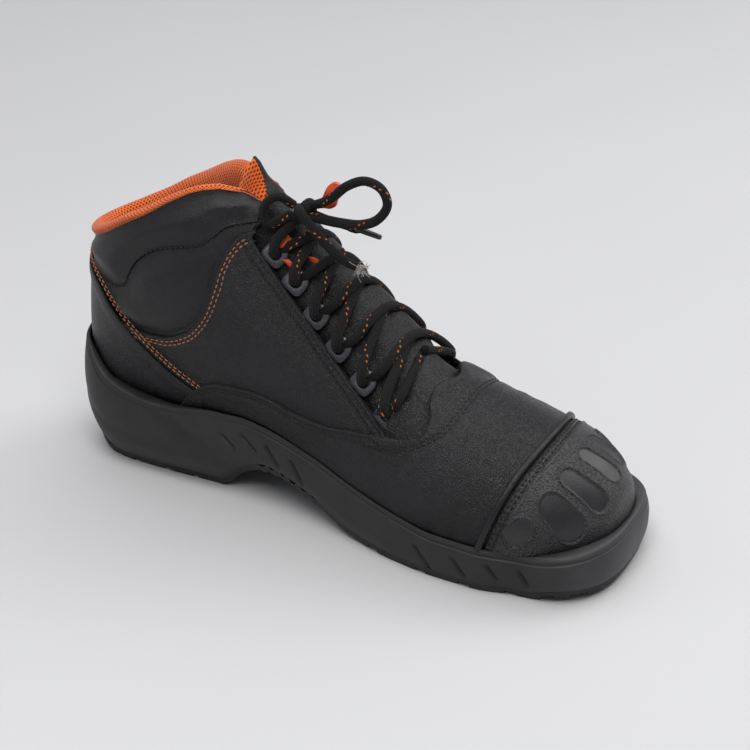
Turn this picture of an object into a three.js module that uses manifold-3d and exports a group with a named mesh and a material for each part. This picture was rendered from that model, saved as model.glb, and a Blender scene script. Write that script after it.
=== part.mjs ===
import * as THREE from 'three';
import Module from 'manifold-3d';

// Driving sizes, in millimetres. Shares in the tables below are of these three.
const SOLE_LENGTH = 301;
const BALL_WIDTH = 111;
const COLLAR_HEIGHT = 155;

// Thicknesses and clearances, in millimetres.
const WALL = 2.2;
const GAP = 0.3;
const PANEL = 1.4;
const VAMP = 1.8;
const GUARD = 2.6;
const SEAM = 3.2;
const PAD = 5.6;
const ROLL = 3;
const TONGUE = 4.6;
const TUCK = 6.5;
const INSOLE = 3.6;
const TREAD = 4.6;
const LUG_DEPTH = 3.4;
const SLASH_DEPTH = 1.3;

// Lacing.
const LACE_RADIUS = 2.3;
const EYELET_WIDTH = 10;
const EYELET_REACH = 9.5;
const EYELET_THICKNESS = 1.5;
const EYELET_HOLE = 2.4;

// How finely the foot form is divided: steps between table rows, and places up each side.
const STEPS_PER_ROW = 2;
const SIDE_PLACES = [0, 0.17, 0.34, 0.5, 0.62, 0.74, 0.87, 1];
const SIDE_STEPS = SIDE_PLACES.length - 1;
const SOLE_STATIONS = 32;
const FINENESS = 0.2;
const LACE_FINENESS = 0.08;

// The foot form, row by row from toe to collar. Each row is a slanted section of the shoe.
// backX, backZ: its bottom (at the heel, back) end. frontX, frontZ: its top (front) end.
// near, far: half widths. shift: middle line. split: height of the widest point, 0 to 1.
// low, nearTop, farTop: how square the section is below and above the widest point.
const FORM_COLUMNS = [
  'station', 'backX', 'backZ', 'frontX', 'frontZ', 'near', 'far', 'shift',
  'split', 'low', 'nearTop', 'farTop',
];
const FORM_ROWS = [
  [0, 0.9751, 0.14, 0.9751, 0.165, 0.018, 0.018, -0.045, 0.5, 2, 2, 2],
  [0.02, 0.9701, 0.1161, 0.9684, 0.2516, 0.1261, 0.1081, -0.045, 0.46, 2.4, 2, 1.9],
  [0.06, 0.9518, 0.0968, 0.9452, 0.2968, 0.2342, 0.2072, -0.045, 0.42, 2.8, 2, 1.9],
  [0.12, 0.9169, 0.0774, 0.907, 0.3419, 0.3378, 0.3063, -0.036, 0.4, 3.2, 2.1, 1.9],
  [0.2, 0.8638, 0.0645, 0.8538, 0.3806, 0.4234, 0.3784, -0.027, 0.38, 3.6, 2.2, 1.8],
  [0.3, 0.7841, 0.0581, 0.7774, 0.4194, 0.464, 0.4144, -0.009, 0.36, 4, 2.2, 1.75],
  [0.4, 0.691, 0.0645, 0.6977, 0.471, 0.4505, 0.4234, -0.009, 0.36, 4, 2.1, 1.7],
  [0.5, 0.5847, 0.0968, 0.6113, 0.5677, 0.3964, 0.3964, -0.009, 0.345, 4, 2, 1.7],
  [0.58, 0.485, 0.1419, 0.5415, 0.6774, 0.3423, 0.3514, -0.009, 0.36, 3.6, 1.9, 1.75],
  [0.66, 0.3654, 0.1742, 0.4784, 0.7742, 0.3153, 0.3153, 0, 0.41, 3, 1.9, 1.8],
  [0.74, 0.1993, 0.1677, 0.4236, 0.8581, 0.3063, 0.3063, 0, 0.5, 2.8, 1.9, 1.9],
  [0.79, 0.0532, 0.1806, 0.3953, 0.9097, 0.3063, 0.3063, 0, 0.55, 2.6, 1.9, 1.9],
  [0.84, 0.0199, 0.3742, 0.3771, 0.9419, 0.3153, 0.3063, 0, 0.5, 2.3, 1.9, 1.9],
  [0.9, 0.0266, 0.5935, 0.3621, 0.9677, 0.2973, 0.2883, 0, 0.46, 2.2, 1.8, 1.8],
  [0.96, 0.0382, 0.7806, 0.3488, 0.9968, 0.2703, 0.2523, 0, 0.42, 2.1, 1.7, 1.7],
  [1, 0.0432, 0.9032, 0.3289, 1.1097, 0.2523, 0.2342, 0, 0.42, 2.1, 1.7, 1.7],
];

// The sole, row by row from heel to toe.
// near, far: half widths. under, rim: heights of its lower and upper edge.
// tuck: how far the tread's edge is in from the widest line.
const SOLE_COLUMNS = ['x', 'near', 'far', 'under', 'rim', 'tuck'];
const SOLE_ROWS = [
  [0, 0.3423, 0.3423, 0.1419, 0.4, 0.045],
  [0.0332, 0.3423, 0.3423, 0.0581, 0.3806, 0.0721],
  [0.0864, 0.3423, 0.3423, 0, 0.3, 0.0991],
  [0.1993, 0.3468, 0.3468, 0, 0.258, 0.0991],
  [0.3056, 0.3423, 0.3423, 0, 0.281, 0.0991],
  [0.3256, 0.3423, 0.3423, 0.0258, 0.2825, 0.0901],
  [0.3522, 0.3423, 0.3423, 0.0774, 0.2855, 0.0721],
  [0.4053, 0.3514, 0.3514, 0.1161, 0.274, 0.0541],
  [0.4983, 0.3874, 0.3784, 0.071, 0.234, 0.045],
  [0.5781, 0.4369, 0.4144, 0.0129, 0.192, 0.036],
  [0.6645, 0.491, 0.4595, 0, 0.16, 0.027],
  [0.7375, 0.5135, 0.482, 0, 0.139, 0.0225],
  [0.7973, 0.5135, 0.4865, 0, 0.137, 0.0225],
  [0.8704, 0.478, 0.457, 0, 0.1335, 0.0225],
  [0.9502, 0.491, 0.45, 0.018, 0.1516, 0.027],
  [1, 0.491, 0.45, 0.018, 0.17, 0.027],
];
const SOLE_LEVELS = [0, 0.2, 0.45, 0.7, 1];
const HEEL_ROUNDING = 0.133;
const HEEL_FULLNESS = 2.2;
const TOE_ROUNDING = 0.2;
const TOE_FULLNESS = 2.79;
const TOE_SWING = 0.0441;

// Outlines seen from the side, as shares of the sole length and the collar height.
const COLLAR_LINE = [
  [0.02, 0.745], [0.0332, 0.76], [0.0664, 0.786], [0.1096, 0.828], [0.1462, 0.87], [0.1827, 0.906],
  [0.2226, 0.95], [0.2538, 0.978], [0.2757, 0.99], [0.299, 0.9935], [0.3289, 0.979], [0.352, 0.955],
  [0.375, 0.9335], [0.4, 0.915],
];
const WING_LINE = [
  [0.222, 0.23], [0.2676, 0.34], [0.298, 0.378], [0.3327, 0.391], [0.3818, 0.395], [0.419, 0.3865],
  [0.4545, 0.372], [0.4896, 0.3645], [0.5239, 0.3625], [0.5724, 0.372], [0.6198, 0.383], [0.6408, 0.3895],
  [0.6653, 0.3933], [0.688, 0.409], [0.6907, 0.43], [0.684, 0.47],
];
const COUNTER_LINE = [
  [0, 0.7], [0.04, 0.675], [0.081, 0.632], [0.138, 0.528], [0.172, 0.462], [0.229, 0.382],
  [0.271, 0.345],
];
const ANKLE_LINE = [
  [0.1, 0.59], [0.144, 0.522], [0.182, 0.506], [0.222, 0.509], [0.255, 0.537], [0.278, 0.577],
  [0.296, 0.635], [0.305, 0.7], [0.315, 0.77], [0.327, 0.83], [0.34, 0.862], [0.366, 0.88],
];
const WAVE_LINE = [
  [0, 0.69], [0.06, 0.665], [0.105, 0.64], [0.13, 0.642], [0.146, 0.66], [0.156, 0.7],
  [0.172, 0.748], [0.198, 0.786], [0.225, 0.806], [0.254, 0.816], [0.283, 0.83],
  [0.303, 0.858], [0.32, 0.888], [0.345, 0.9], [0.38, 0.9],
];
const TOE_LINE = [
  [0.869, 0.6], [0.8685, 0.395], [0.859, 0.3738], [0.8485, 0.3392], [0.839, 0.2926], [0.8257, 0.2236],
  [0.813, 0.15], [0.806, 0.1],
];

// Outline of the throat seen from above, near side: shares of the sole length and ball width.
const THROAT_LINE = [
  [0.2, -0.1], [0.33, -0.113], [0.355, -0.15], [0.366, -0.177], [0.408, -0.195],
  [0.451, -0.219], [0.496, -0.25], [0.541, -0.285], [0.587, -0.328], [0.634, -0.375],
  [0.665, -0.391], [0.688, -0.359], [0.6907, -0.3315], [0.6887, -0.29], [0.6796, -0.241],
  [0.6744, -0.164], [0.6806, -0.103], [0.6855, -0.048], [0.687, 0],
];

// Middles of the eyelets on the foot form: station along the form and place up its side.
const EYELET_PLACES = [
  [0.481, 0.712], [0.534, 0.736], [0.588, 0.75], [0.641, 0.77], [0.697, 0.803], [0.752, 0.822],
];

// Ovals on the toe guard: station and place up the side of their two ends, side, and width in mm.
const OVALS = [
  { top: [0.1708, 0.589], foot: [0.2167, 0.489], side: -1, wide: 11 },
  { top: [0.1642, 0.727], foot: [0.0717, 0.537], side: -1, wide: 13.6 },
  { top: [0.1467, 0.851], foot: [0.0358, 0.746], side: -1, wide: 11 },
  { top: [0.1375, 0.959], foot: [0.0358, 0.995], side: -1, wide: 10 },
  { top: [0.1383, 0.941], foot: [0.06, 0.791], side: 1, wide: 10.5 },
  { top: [0.152, 0.8], foot: [0.08, 0.62], side: 1, wide: 12 },
  { top: [0.168, 0.66], foot: [0.15, 0.49], side: 1, wide: 11.5 },
];
const OVAL_DEPTH = 0.9;

// Slanted cuts in the side of the sole: x at the foot of each cut as a share of the sole length,
// the shares of the side's height they reach from and to, and their lean in mm.
const SIDE_CUTS = [
  { at: 0.35, low: 0.47, high: 0.69, lean: -9.4 }, { at: 0.393, low: 0.42, high: 0.75, lean: -10.8 },
  { at: 0.434, low: 0.3, high: 0.765, lean: -8.7 }, { at: 0.482, low: 0.28, high: 0.78, lean: -8.4 },
  { at: 0.73, low: 0.165, high: 0.69, lean: -9.6 }, { at: 0.79, low: 0.23, high: 0.685, lean: -8.4 },
  { at: 0.841, low: 0.3, high: 0.75, lean: -6.8 }, { at: 0.888, low: 0.27, high: 0.72, lean: -6.8 },
];

// Gaps between the lugs along both edges, and across the tread.
const EDGE_GAPS = [0.136, 0.197, 0.253, 0.62, 0.7115, 0.7855, 0.858, 0.914];
const CROSS_GAPS = [0.148, 0.22, 0.66, 0.742, 0.817, 0.884];
const EDGE_GAP_WIDTH = 6;
const CROSS_GAP_WIDTH = 4;

const wasm = await Module();
wasm.setup();

// Shape-preserving cubic through the rows of a table.
function column(table, names, name) {
  const at = names.indexOf(name);
  const xs = table.map((row) => row[0]);
  const ys = table.map((row) => row[at]);
  const count = xs.length;
  const step = [];
  const rise = [];
  for (let i = 0; i < count - 1; i += 1) {
    step.push(xs[i + 1] - xs[i]);
    rise.push((ys[i + 1] - ys[i]) / step[i]);
  }
  const slope = new Array(count).fill(0);
  for (let i = 1; i < count - 1; i += 1) {
    if (rise[i - 1] * rise[i] > 0) {
      const a = 2 * step[i] + step[i - 1];
      const b = step[i] + 2 * step[i - 1];
      slope[i] = (a + b) / (a / rise[i - 1] + b / rise[i]);
    }
  }
  slope[0] = endSlope(step[0], step[1], rise[0], rise[1]);
  const last = count - 1;
  slope[last] = endSlope(step[last - 1], step[last - 2], rise[last - 1], rise[last - 2]);
  return (x) => {
    let i = 0;
    while (i < count - 2 && x > xs[i + 1]) {
      i += 1;
    }
    const u = (x - xs[i]) / step[i];
    const v = 1 - u;
    return ys[i] * v * v * (1 + 2 * u) + ys[i + 1] * u * u * (3 - 2 * u)
      + step[i] * u * v * (slope[i] * v - slope[i + 1] * u);
  };
}

function endSlope(nearStep, nextStep, nearRise, nextRise) {
  const value = ((2 * nearStep + nextStep) * nearRise - nearStep * nextRise) / (nearStep + nextStep);
  if (value * nearRise <= 0) {
    return 0;
  }
  if (nearRise * nextRise < 0 && Math.abs(value) > Math.abs(3 * nearRise)) {
    return 3 * nearRise;
  }
  return value;
}

const form = {};
for (const name of FORM_COLUMNS) {
  form[name] = column(FORM_ROWS, FORM_COLUMNS, name);
}
const sole = {};
for (const name of SOLE_COLUMNS) {
  sole[name] = column(SOLE_ROWS, SOLE_COLUMNS, name);
}

// A point of the foot form. up is 0 at the bottom or back middle and 1 at the top middle.
function formPoint(station, up, side) {
  const half = (side < 0 ? form.near(station) : form.far(station)) * BALL_WIDTH;
  const split = form.split(station);
  const angle = (up < 0.5 ? up : up - 0.5) * Math.PI;
  const sine = Math.max(0, Math.sin(angle));
  const cosine = Math.max(0, Math.cos(angle));
  let out;
  let along;
  if (up < 0.5) {
    const power = 2 / form.low(station);
    out = half * sine ** power;
    along = split * (1 - cosine ** power);
  } else {
    const power = 2 / (side < 0 ? form.nearTop(station) : form.farTop(station));
    out = half * cosine ** power;
    along = split + (1 - split) * sine ** power;
  }
  const backX = form.backX(station);
  const backZ = form.backZ(station);
  return new THREE.Vector3(
    (backX + (form.frontX(station) - backX) * along) * SOLE_LENGTH,
    form.shift(station) * BALL_WIDTH + side * out,
    (backZ + (form.frontZ(station) - backZ) * along) * COLLAR_HEIGHT,
  );
}

// Rings of points on the form: down the near side, then up the far side.
function formRings() {
  const rings = [];
  for (let row = 0; row < FORM_ROWS.length - 1; row += 1) {
    for (let step = 0; step < STEPS_PER_ROW; step += 1) {
      const share = step / STEPS_PER_ROW;
      rings.push(FORM_ROWS[row][0] * (1 - share) + FORM_ROWS[row + 1][0] * share);
    }
  }
  rings.push(1);
  return rings.map((station) => {
    const ring = [];
    for (let i = 0; i <= SIDE_STEPS; i += 1) {
      ring.push(formPoint(station, SIDE_PLACES[i], -1));
    }
    for (let i = SIDE_STEPS - 1; i > 0; i -= 1) {
      ring.push(formPoint(station, SIDE_PLACES[i], 1));
    }
    return ring;
  });
}

// Outward directions at the points of the rings.
function ringNormals(rings) {
  return rings.map((ring, i) => ring.map((point, j) => {
    const size = ring.length;
    const before = rings[Math.max(i - 1, 0)][j];
    const after = rings[Math.min(i + 1, rings.length - 1)][j];
    const alongForm = after.clone().sub(before);
    const aroundForm = ring[(j + 1) % size].clone().sub(ring[(j + size - 1) % size]);
    return alongForm.cross(aroundForm).normalize();
  }));
}

const RINGS = formRings();
const NORMALS = ringNormals(RINGS);
const OUTWARD = normalSign();

function normalSign() {
  const ring = RINGS[RINGS.length - 1];
  const middle = ring.reduce((sum, point) => sum.add(point), new THREE.Vector3());
  middle.divideScalar(ring.length);
  const spoke = ring[SIDE_STEPS].clone().sub(middle);
  return Math.sign(NORMALS[RINGS.length - 1][SIDE_STEPS].dot(spoke));
}

// A closed solid from rings of equal length, capped with fans.
function lofted(rings) {
  const size = rings[0].length;
  const points = rings.flat().flatMap((point) => [point.x, point.y, point.z]);
  const faces = [];
  for (let i = 0; i < rings.length - 1; i += 1) {
    for (let j = 0; j < size; j += 1) {
      const a = i * size + j;
      const b = i * size + ((j + 1) % size);
      faces.push(a, b, a + size, b, b + size, a + size);
    }
  }
  for (const end of [0, rings.length - 1]) {
    const middle = new THREE.Vector3();
    rings[end].forEach((point) => middle.add(point));
    middle.divideScalar(size);
    const centre = points.length / 3;
    points.push(middle.x, middle.y, middle.z);
    for (let j = 0; j < size; j += 1) {
      const a = end * size + j;
      const b = end * size + ((j + 1) % size);
      faces.push(...(end === 0 ? [centre, b, a] : [centre, a, b]));
    }
  }
  return solidFrom(points, faces);
}

function solidFrom(points, faces) {
  let volume = 0;
  for (let i = 0; i < faces.length; i += 3) {
    const [a, b, c] = [faces[i], faces[i + 1], faces[i + 2]].map(
      (k) => new THREE.Vector3(points[3 * k], points[3 * k + 1], points[3 * k + 2]),
    );
    volume += a.dot(b.cross(c));
  }
  const triangles = [...faces];
  if (volume < 0) {
    for (let i = 0; i < triangles.length; i += 3) {
      [triangles[i], triangles[i + 1]] = [triangles[i + 1], triangles[i]];
    }
  }
  return new wasm.Manifold(new wasm.Mesh({
    numProp: 3,
    vertProperties: new Float32Array(points),
    triVerts: new Uint32Array(triangles),
  }));
}

// The foot form moved in or out by an offset. lift carries its open end further up.
function footForm(offset, lift = 0) {
  const rings = RINGS.map((ring, i) => ring.map(
    (point, j) => point.clone().addScaledVector(NORMALS[i][j], offset * OUTWARD),
  ));
  const top = RINGS[RINGS.length - 1];
  const across = top[SIDE_STEPS].clone().sub(top[0]).normalize();
  if (lift > 0) {
    const up = new THREE.Vector3(-across.z, 0, across.x);
    rings.push(rings[rings.length - 1].map((point) => point.clone().addScaledVector(up, lift)));
  }
  return lofted(rings);
}

// The skin between two offsets of the foot form.
function skin(inner, outer) {
  return footForm(outer).subtract(footForm(inner, 6));
}

// A straight bar from an outline, pushed along an axis between two values.
function bar(outline, axis, from, to) {
  const flat = outline.map(([a, b]) => new THREE.Vector2(a, b));
  if (THREE.ShapeUtils.isClockWise(flat)) {
    flat.reverse();
  }
  const triangles = THREE.ShapeUtils.triangulateShape(flat, []);
  const size = flat.length;
  const place = {
    x: (a, b, c) => [c, a, b],
    y: (a, b, c) => [a, c, b],
    z: (a, b, c) => [a, b, c],
  }[axis];
  const points = [];
  for (const level of [from, to]) {
    flat.forEach((point) => points.push(...place(point.x, point.y, level)));
  }
  const faces = [];
  for (const [a, b, c] of triangles) {
    faces.push(a, c, b, a + size, b + size, c + size);
  }
  for (let i = 0; i < size; i += 1) {
    const j = (i + 1) % size;
    faces.push(i, j, i + size, j, j + size, i + size);
  }
  return solidFrom(points, faces);
}

const NEAR = [-200, 0];
const FAR = [0, 200];
const BOTH = [-200, 200];

function sideBar(line, extra, span = BOTH) {
  const points = [...sized(line), ...extra];
  return bar(points, 'y', span[0], span[1]);
}

// A line in shares, as millimetres.
function sized(line) {
  return line.map(([x, z]) => [x * SOLE_LENGTH, z * COLLAR_HEIGHT]);
}

// The same line moved up and along.
function moved(line, x, z) {
  return sized(line).map(([a, b]) => [a + x, b + z]);
}

function mirrored(span) {
  return [-span[1], -span[0]];
}

// Everything above the line of the collar, with a rise added.
function aboveCollar(rise) {
  const line = moved(COLLAR_LINE, 0, rise);
  const [first, last] = [line[0], line[line.length - 1]];
  const points = [[-60, first[1] - 12], ...line, [last[0] + 20, last[1] - 25]];
  return bar([...points, [last[0] + 20, 400], [-60, 400]], 'y', ...BOTH);
}

// Everything below the rim of the sole, with a rise added.
function belowRim(rise) {
  const points = soleShares().map((share) => {
    const point = solePoint(share, 1, -1);
    return [point.x, point.z + rise];
  });
  const [first, last] = [points[0], points[points.length - 1]];
  return bar([
    [-60, first[1]], ...points, [last[0] + 60, last[1]], [last[0] + 60, -60], [-60, -60],
  ], 'y', ...BOTH);
}

// Stations of the sole, closer together at the heel and the toe.
function soleShares() {
  const shares = [];
  for (let i = 0; i <= SOLE_STATIONS; i += 1) {
    shares.push((1 - Math.cos((Math.PI * i) / SOLE_STATIONS)) / 2);
  }
  return shares;
}

// The sole as one block, from its widest outline tucked in below and at the rim.
function soleBlock() {
  const rings = SOLE_LEVELS.map((level) => {
    const near = soleShares().map((share) => solePoint(share, level, -1));
    const far = soleShares().map((share) => solePoint(share, level, 1));
    return [...near, ...far.slice(1, -1).reverse()];
  });
  const size = rings[0].length;
  const points = rings.flat().flatMap((point) => [point.x, point.y, point.z]);
  const faces = [];
  for (let i = 0; i < rings.length - 1; i += 1) {
    for (let j = 0; j < size; j += 1) {
      const a = i * size + j;
      const b = i * size + ((j + 1) % size);
      faces.push(a, b, a + size, b, b + size, a + size);
    }
  }
  const lid = (base, flip) => {
    for (let i = 0; i < SOLE_STATIONS; i += 1) {
      const a = base + i;
      const b = base + i + 1;
      const c = base + ((size - i) % size);
      const d = base + size - i - 1;
      const first = flip ? [a, d, b] : [a, b, d];
      const second = flip ? [a, c, d] : [a, d, c];
      if (i < SOLE_STATIONS - 1) {
        faces.push(...first);
      }
      if (i > 0) {
        faces.push(...second);
      }
    }
  };
  lid(0, true);
  lid((rings.length - 1) * size, false);
  return solidFrom(points, faces);
}

function solePoint(share, level, side) {
  const toe = Math.max(0, (share - (1 - TOE_ROUNDING)) / TOE_ROUNDING);
  const heel = Math.max(0, 1 - share / HEEL_ROUNDING);
  const ends = Math.max(0, 1 - heel ** HEEL_FULLNESS) ** (1 / HEEL_FULLNESS)
    * Math.max(0, 1 - toe ** TOE_FULLNESS) ** (1 / TOE_FULLNESS);
  const low = (1 - Math.min(level / 0.45, 1)) ** 2 * sole.tuck(share) * BALL_WIDTH;
  const high = Math.max(0, (level - 0.55) / 0.45) ** 2 * 2.5;
  const inset = low + high;
  const half = (side < 0 ? sole.near(share) : sole.far(share)) * BALL_WIDTH;
  const swing = -TOE_SWING * BALL_WIDTH * Math.max(0, (share - 0.6645) / 0.3355) ** 2;
  const under = sole.under(share) * COLLAR_HEIGHT;
  const rim = sole.rim(share) * COLLAR_HEIGHT;
  return new THREE.Vector3(
    share * SOLE_LENGTH + inset * (heel - toe),
    swing + side * Math.max(0, (half - inset) * ends),
    under + (rim - under) * level,
  );
}

// Everything below a surface that follows the underside of the sole at a height.
function belowTread(rise) {
  const points = soleShares().map((share) => [
    share * SOLE_LENGTH,
    sole.under(share) * COLLAR_HEIGHT + rise,
  ]);
  const [first, last] = [points[0], points[points.length - 1]];
  return bar([
    [-60, first[1] + 30], ...points, [last[0] + 40, last[1] + 10], [last[0] + 40, -60], [-60, -60],
  ], 'y', ...BOTH);
}

function box(x, y, z) {
  const [x0, x1] = x;
  return bar([[x0, z[0]], [x1, z[0]], [x1, z[1]], [x0, z[1]]], 'y', y[0], y[1]);
}

function buildOutsole() {
  let solid = soleBlock().intersect(belowTread(TREAD));
  for (const share of EDGE_GAPS) {
    const x = share * SOLE_LENGTH;
    const reach = 0.7 * sole.near(share) * BALL_WIDTH - sole.tuck(share) * BALL_WIDTH * 0.5;
    const z = sole.under(share) * COLLAR_HEIGHT + LUG_DEPTH;
    const width = [x - EDGE_GAP_WIDTH / 2, x + EDGE_GAP_WIDTH / 2];
    solid = solid.subtract(box(width, [-90, -reach], [-20, z]));
    solid = solid.subtract(box(width, [reach, 90], [-20, z]));
  }
  for (const share of CROSS_GAPS) {
    const x = share * SOLE_LENGTH;
    const reach = 0.5 * sole.near(share) * BALL_WIDTH;
    const width = [x - CROSS_GAP_WIDTH / 2, x + CROSS_GAP_WIDTH / 2];
    solid = solid.subtract(box(width, [-reach, reach], [-20, LUG_DEPTH - 0.8]));
  }
  return solid;
}

function buildMidsole() {
  let solid = soleBlock().subtract(belowTread(TREAD + GAP)).subtract(footForm(GAP, 6));
  for (const cut of SIDE_CUTS) {
    const under = sole.under(cut.at) * COLLAR_HEIGHT;
    const rise = sole.rim(cut.at) * COLLAR_HEIGHT - under;
    const x = cut.at * SOLE_LENGTH;
    const low = under + rise * cut.low;
    const high = under + rise * cut.high;
    const outline = [[x, low], [x + 2, low], [x + cut.lean + 2, high], [x + cut.lean, high]];
    for (const side of [-1, 1]) {
      const edge = solePoint(cut.at, 0.7, side).y;
      const span = side < 0 ? [edge - 40, edge + SLASH_DEPTH] : [edge - SLASH_DEPTH, edge + 40];
      solid = solid.subtract(bar(outline, 'y', span[0], span[1]));
    }
  }
  return solid;
}

// Heights that follow the bottom of the foot form, for what lies inside the sole.
function footbed(rise) {
  const rows = FORM_ROWS.filter((row) => row[0] <= 0.79);
  const points = rows.map((row) => [row[1] * SOLE_LENGTH, row[2] * COLLAR_HEIGHT + rise]);
  const heel = points.pop();
  points.push([heel[0], points[points.length - 1][1]]);
  return points.reverse();
}

function belowFootbed(rise) {
  const line = footbed(rise);
  const [first, last] = [line[0], line[line.length - 1]];
  return bar([
    [-60, first[1]], ...line, [last[0] + 60, last[1] + 12], [last[0] + 60, -60], [-60, -60],
  ], 'y', ...BOTH);
}

function throatOutline(spread) {
  const near = THROAT_LINE.map(([x, y]) => [x * SOLE_LENGTH, y * BALL_WIDTH - spread]);
  const tip = near[near.length - 1];
  near[near.length - 1] = [tip[0], 0];
  const far = near.slice(0, -1).reverse().map(([x, y]) => [x, -y]);
  return [...near, ...far];
}

function throatCut(spread) {
  return bar(throatOutline(spread), 'z', 45, 400);
}

function buildUpper() {
  return skin(-WALL, 0)
    .subtract(aboveCollar(0))
    .subtract(throatCut(0))
    .subtract(belowFootbed(INSOLE + GAP));
}

function buildInsole() {
  return footForm(0).intersect(belowFootbed(INSOLE));
}

function clipped(solid) {
  return solid.subtract(throatCut(0)).subtract(aboveCollar(0)).subtract(belowRim(GAP));
}

function buildVamp() {
  const area = sideBar(WING_LINE, [
    [0.686 * SOLE_LENGTH, 1.2 * COLLAR_HEIGHT], ...moved(TOE_LINE, -2.6, 0),
    [0.78 * SOLE_LENGTH, -20], [0.15 * SOLE_LENGTH, -20],
  ]);
  return clipped(skin(GAP, GAP + VAMP).intersect(area));
}

function wingCut() {
  return sideBar([], [
    ...moved(WING_LINE, -GAP, GAP), [0.72 * SOLE_LENGTH, 0.6 * COLLAR_HEIGHT],
    [1.3 * SOLE_LENGTH, 0.6 * COLLAR_HEIGHT], [1.3 * SOLE_LENGTH, -60],
    [0.2 * SOLE_LENGTH, -60],
  ]);
}

function counterArea(grow) {
  return sideBar([], [
    [-60, 0.7 * COLLAR_HEIGHT + grow], ...moved(COUNTER_LINE, grow, grow),
    [0.262 * SOLE_LENGTH + grow, 0.322 * COLLAR_HEIGHT], [0.2 * SOLE_LENGTH, -60], [-60, -60],
  ]);
}

function buildQuarter(span) {
  const edge = [
    [0.05 * SOLE_LENGTH, 0.66 * COLLAR_HEIGHT], ...moved(ANKLE_LINE, 0, -GAP),
    [0.5 * SOLE_LENGTH, 0.9 * COLLAR_HEIGHT], [0.75 * SOLE_LENGTH, 0.7 * COLLAR_HEIGHT],
    [0.75 * SOLE_LENGTH, 0.2 * COLLAR_HEIGHT], [0.1 * SOLE_LENGTH, 0],
  ];
  const area = bar(edge, 'y', span[0], span[1]);
  return clipped(skin(GAP, GAP + PANEL).intersect(area))
    .subtract(wingCut())
    .subtract(counterArea(GAP));
}

function buildAnklePad(span) {
  const area = bar([
    ...moved(ANKLE_LINE, 0, GAP), [0.44 * SOLE_LENGTH, 0.9 * COLLAR_HEIGHT],
    [0.44 * SOLE_LENGTH, 1.4 * COLLAR_HEIGHT], [0, 1.4 * COLLAR_HEIGHT],
    [0, 0.75 * COLLAR_HEIGHT],
  ], 'y', span[0], span[1]);
  return clipped(skin(GAP, GAP + PANEL + 0.6).intersect(area))
    .subtract(collarArea(GAP))
    .subtract(counterArea(GAP));
}

function collarArea(grow) {
  return bar([
    [-60, 0.69 * COLLAR_HEIGHT - grow], ...moved(WAVE_LINE, 0, -grow),
    [0.5 * SOLE_LENGTH, 0.9 * COLLAR_HEIGHT - grow], [0.5 * SOLE_LENGTH, 1.4 * COLLAR_HEIGHT],
    [-60, 1.4 * COLLAR_HEIGHT],
  ], 'y', ...BOTH);
}

function buildCuff() {
  return clipped(skin(GAP, GAP + PANEL + 1).intersect(collarArea(0)))
    .subtract(counterArea(GAP));
}

function buildCounter() {
  return clipped(skin(GAP, GAP + PANEL).intersect(counterArea(0))).subtract(wingCut());
}

function buildCollarLining() {
  const pad = skin(-WALL - GAP - PAD, -WALL - GAP)
    .subtract(aboveCollar(GAP + ROLL / 2))
    .subtract(bar([
      [-60, 0.52 * COLLAR_HEIGHT], [0.12 * SOLE_LENGTH, 0.56 * COLLAR_HEIGHT],
      [0.3 * SOLE_LENGTH, 0.72 * COLLAR_HEIGHT], [0.5 * SOLE_LENGTH, 0.8 * COLLAR_HEIGHT],
      [1.3 * SOLE_LENGTH, 0.8 * COLLAR_HEIGHT], [1.3 * SOLE_LENGTH, -60], [-60, -60],
    ], 'y', ...BOTH));
  const band = aboveCollar(GAP).subtract(aboveCollar(GAP + ROLL));
  const inside = skin(-WALL - GAP - PAD, -WALL).intersect(band);
  const over = skin(-WALL - GAP, PANEL).intersect(band)
    .subtract(throatCut(TUCK + 1.5).intersect(footForm(-WALL, 6)));
  return pad.add(inside).subtract(throatCut(TUCK + 1.5)).add(over.subtract(throatCut(1.2)));
}

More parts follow.
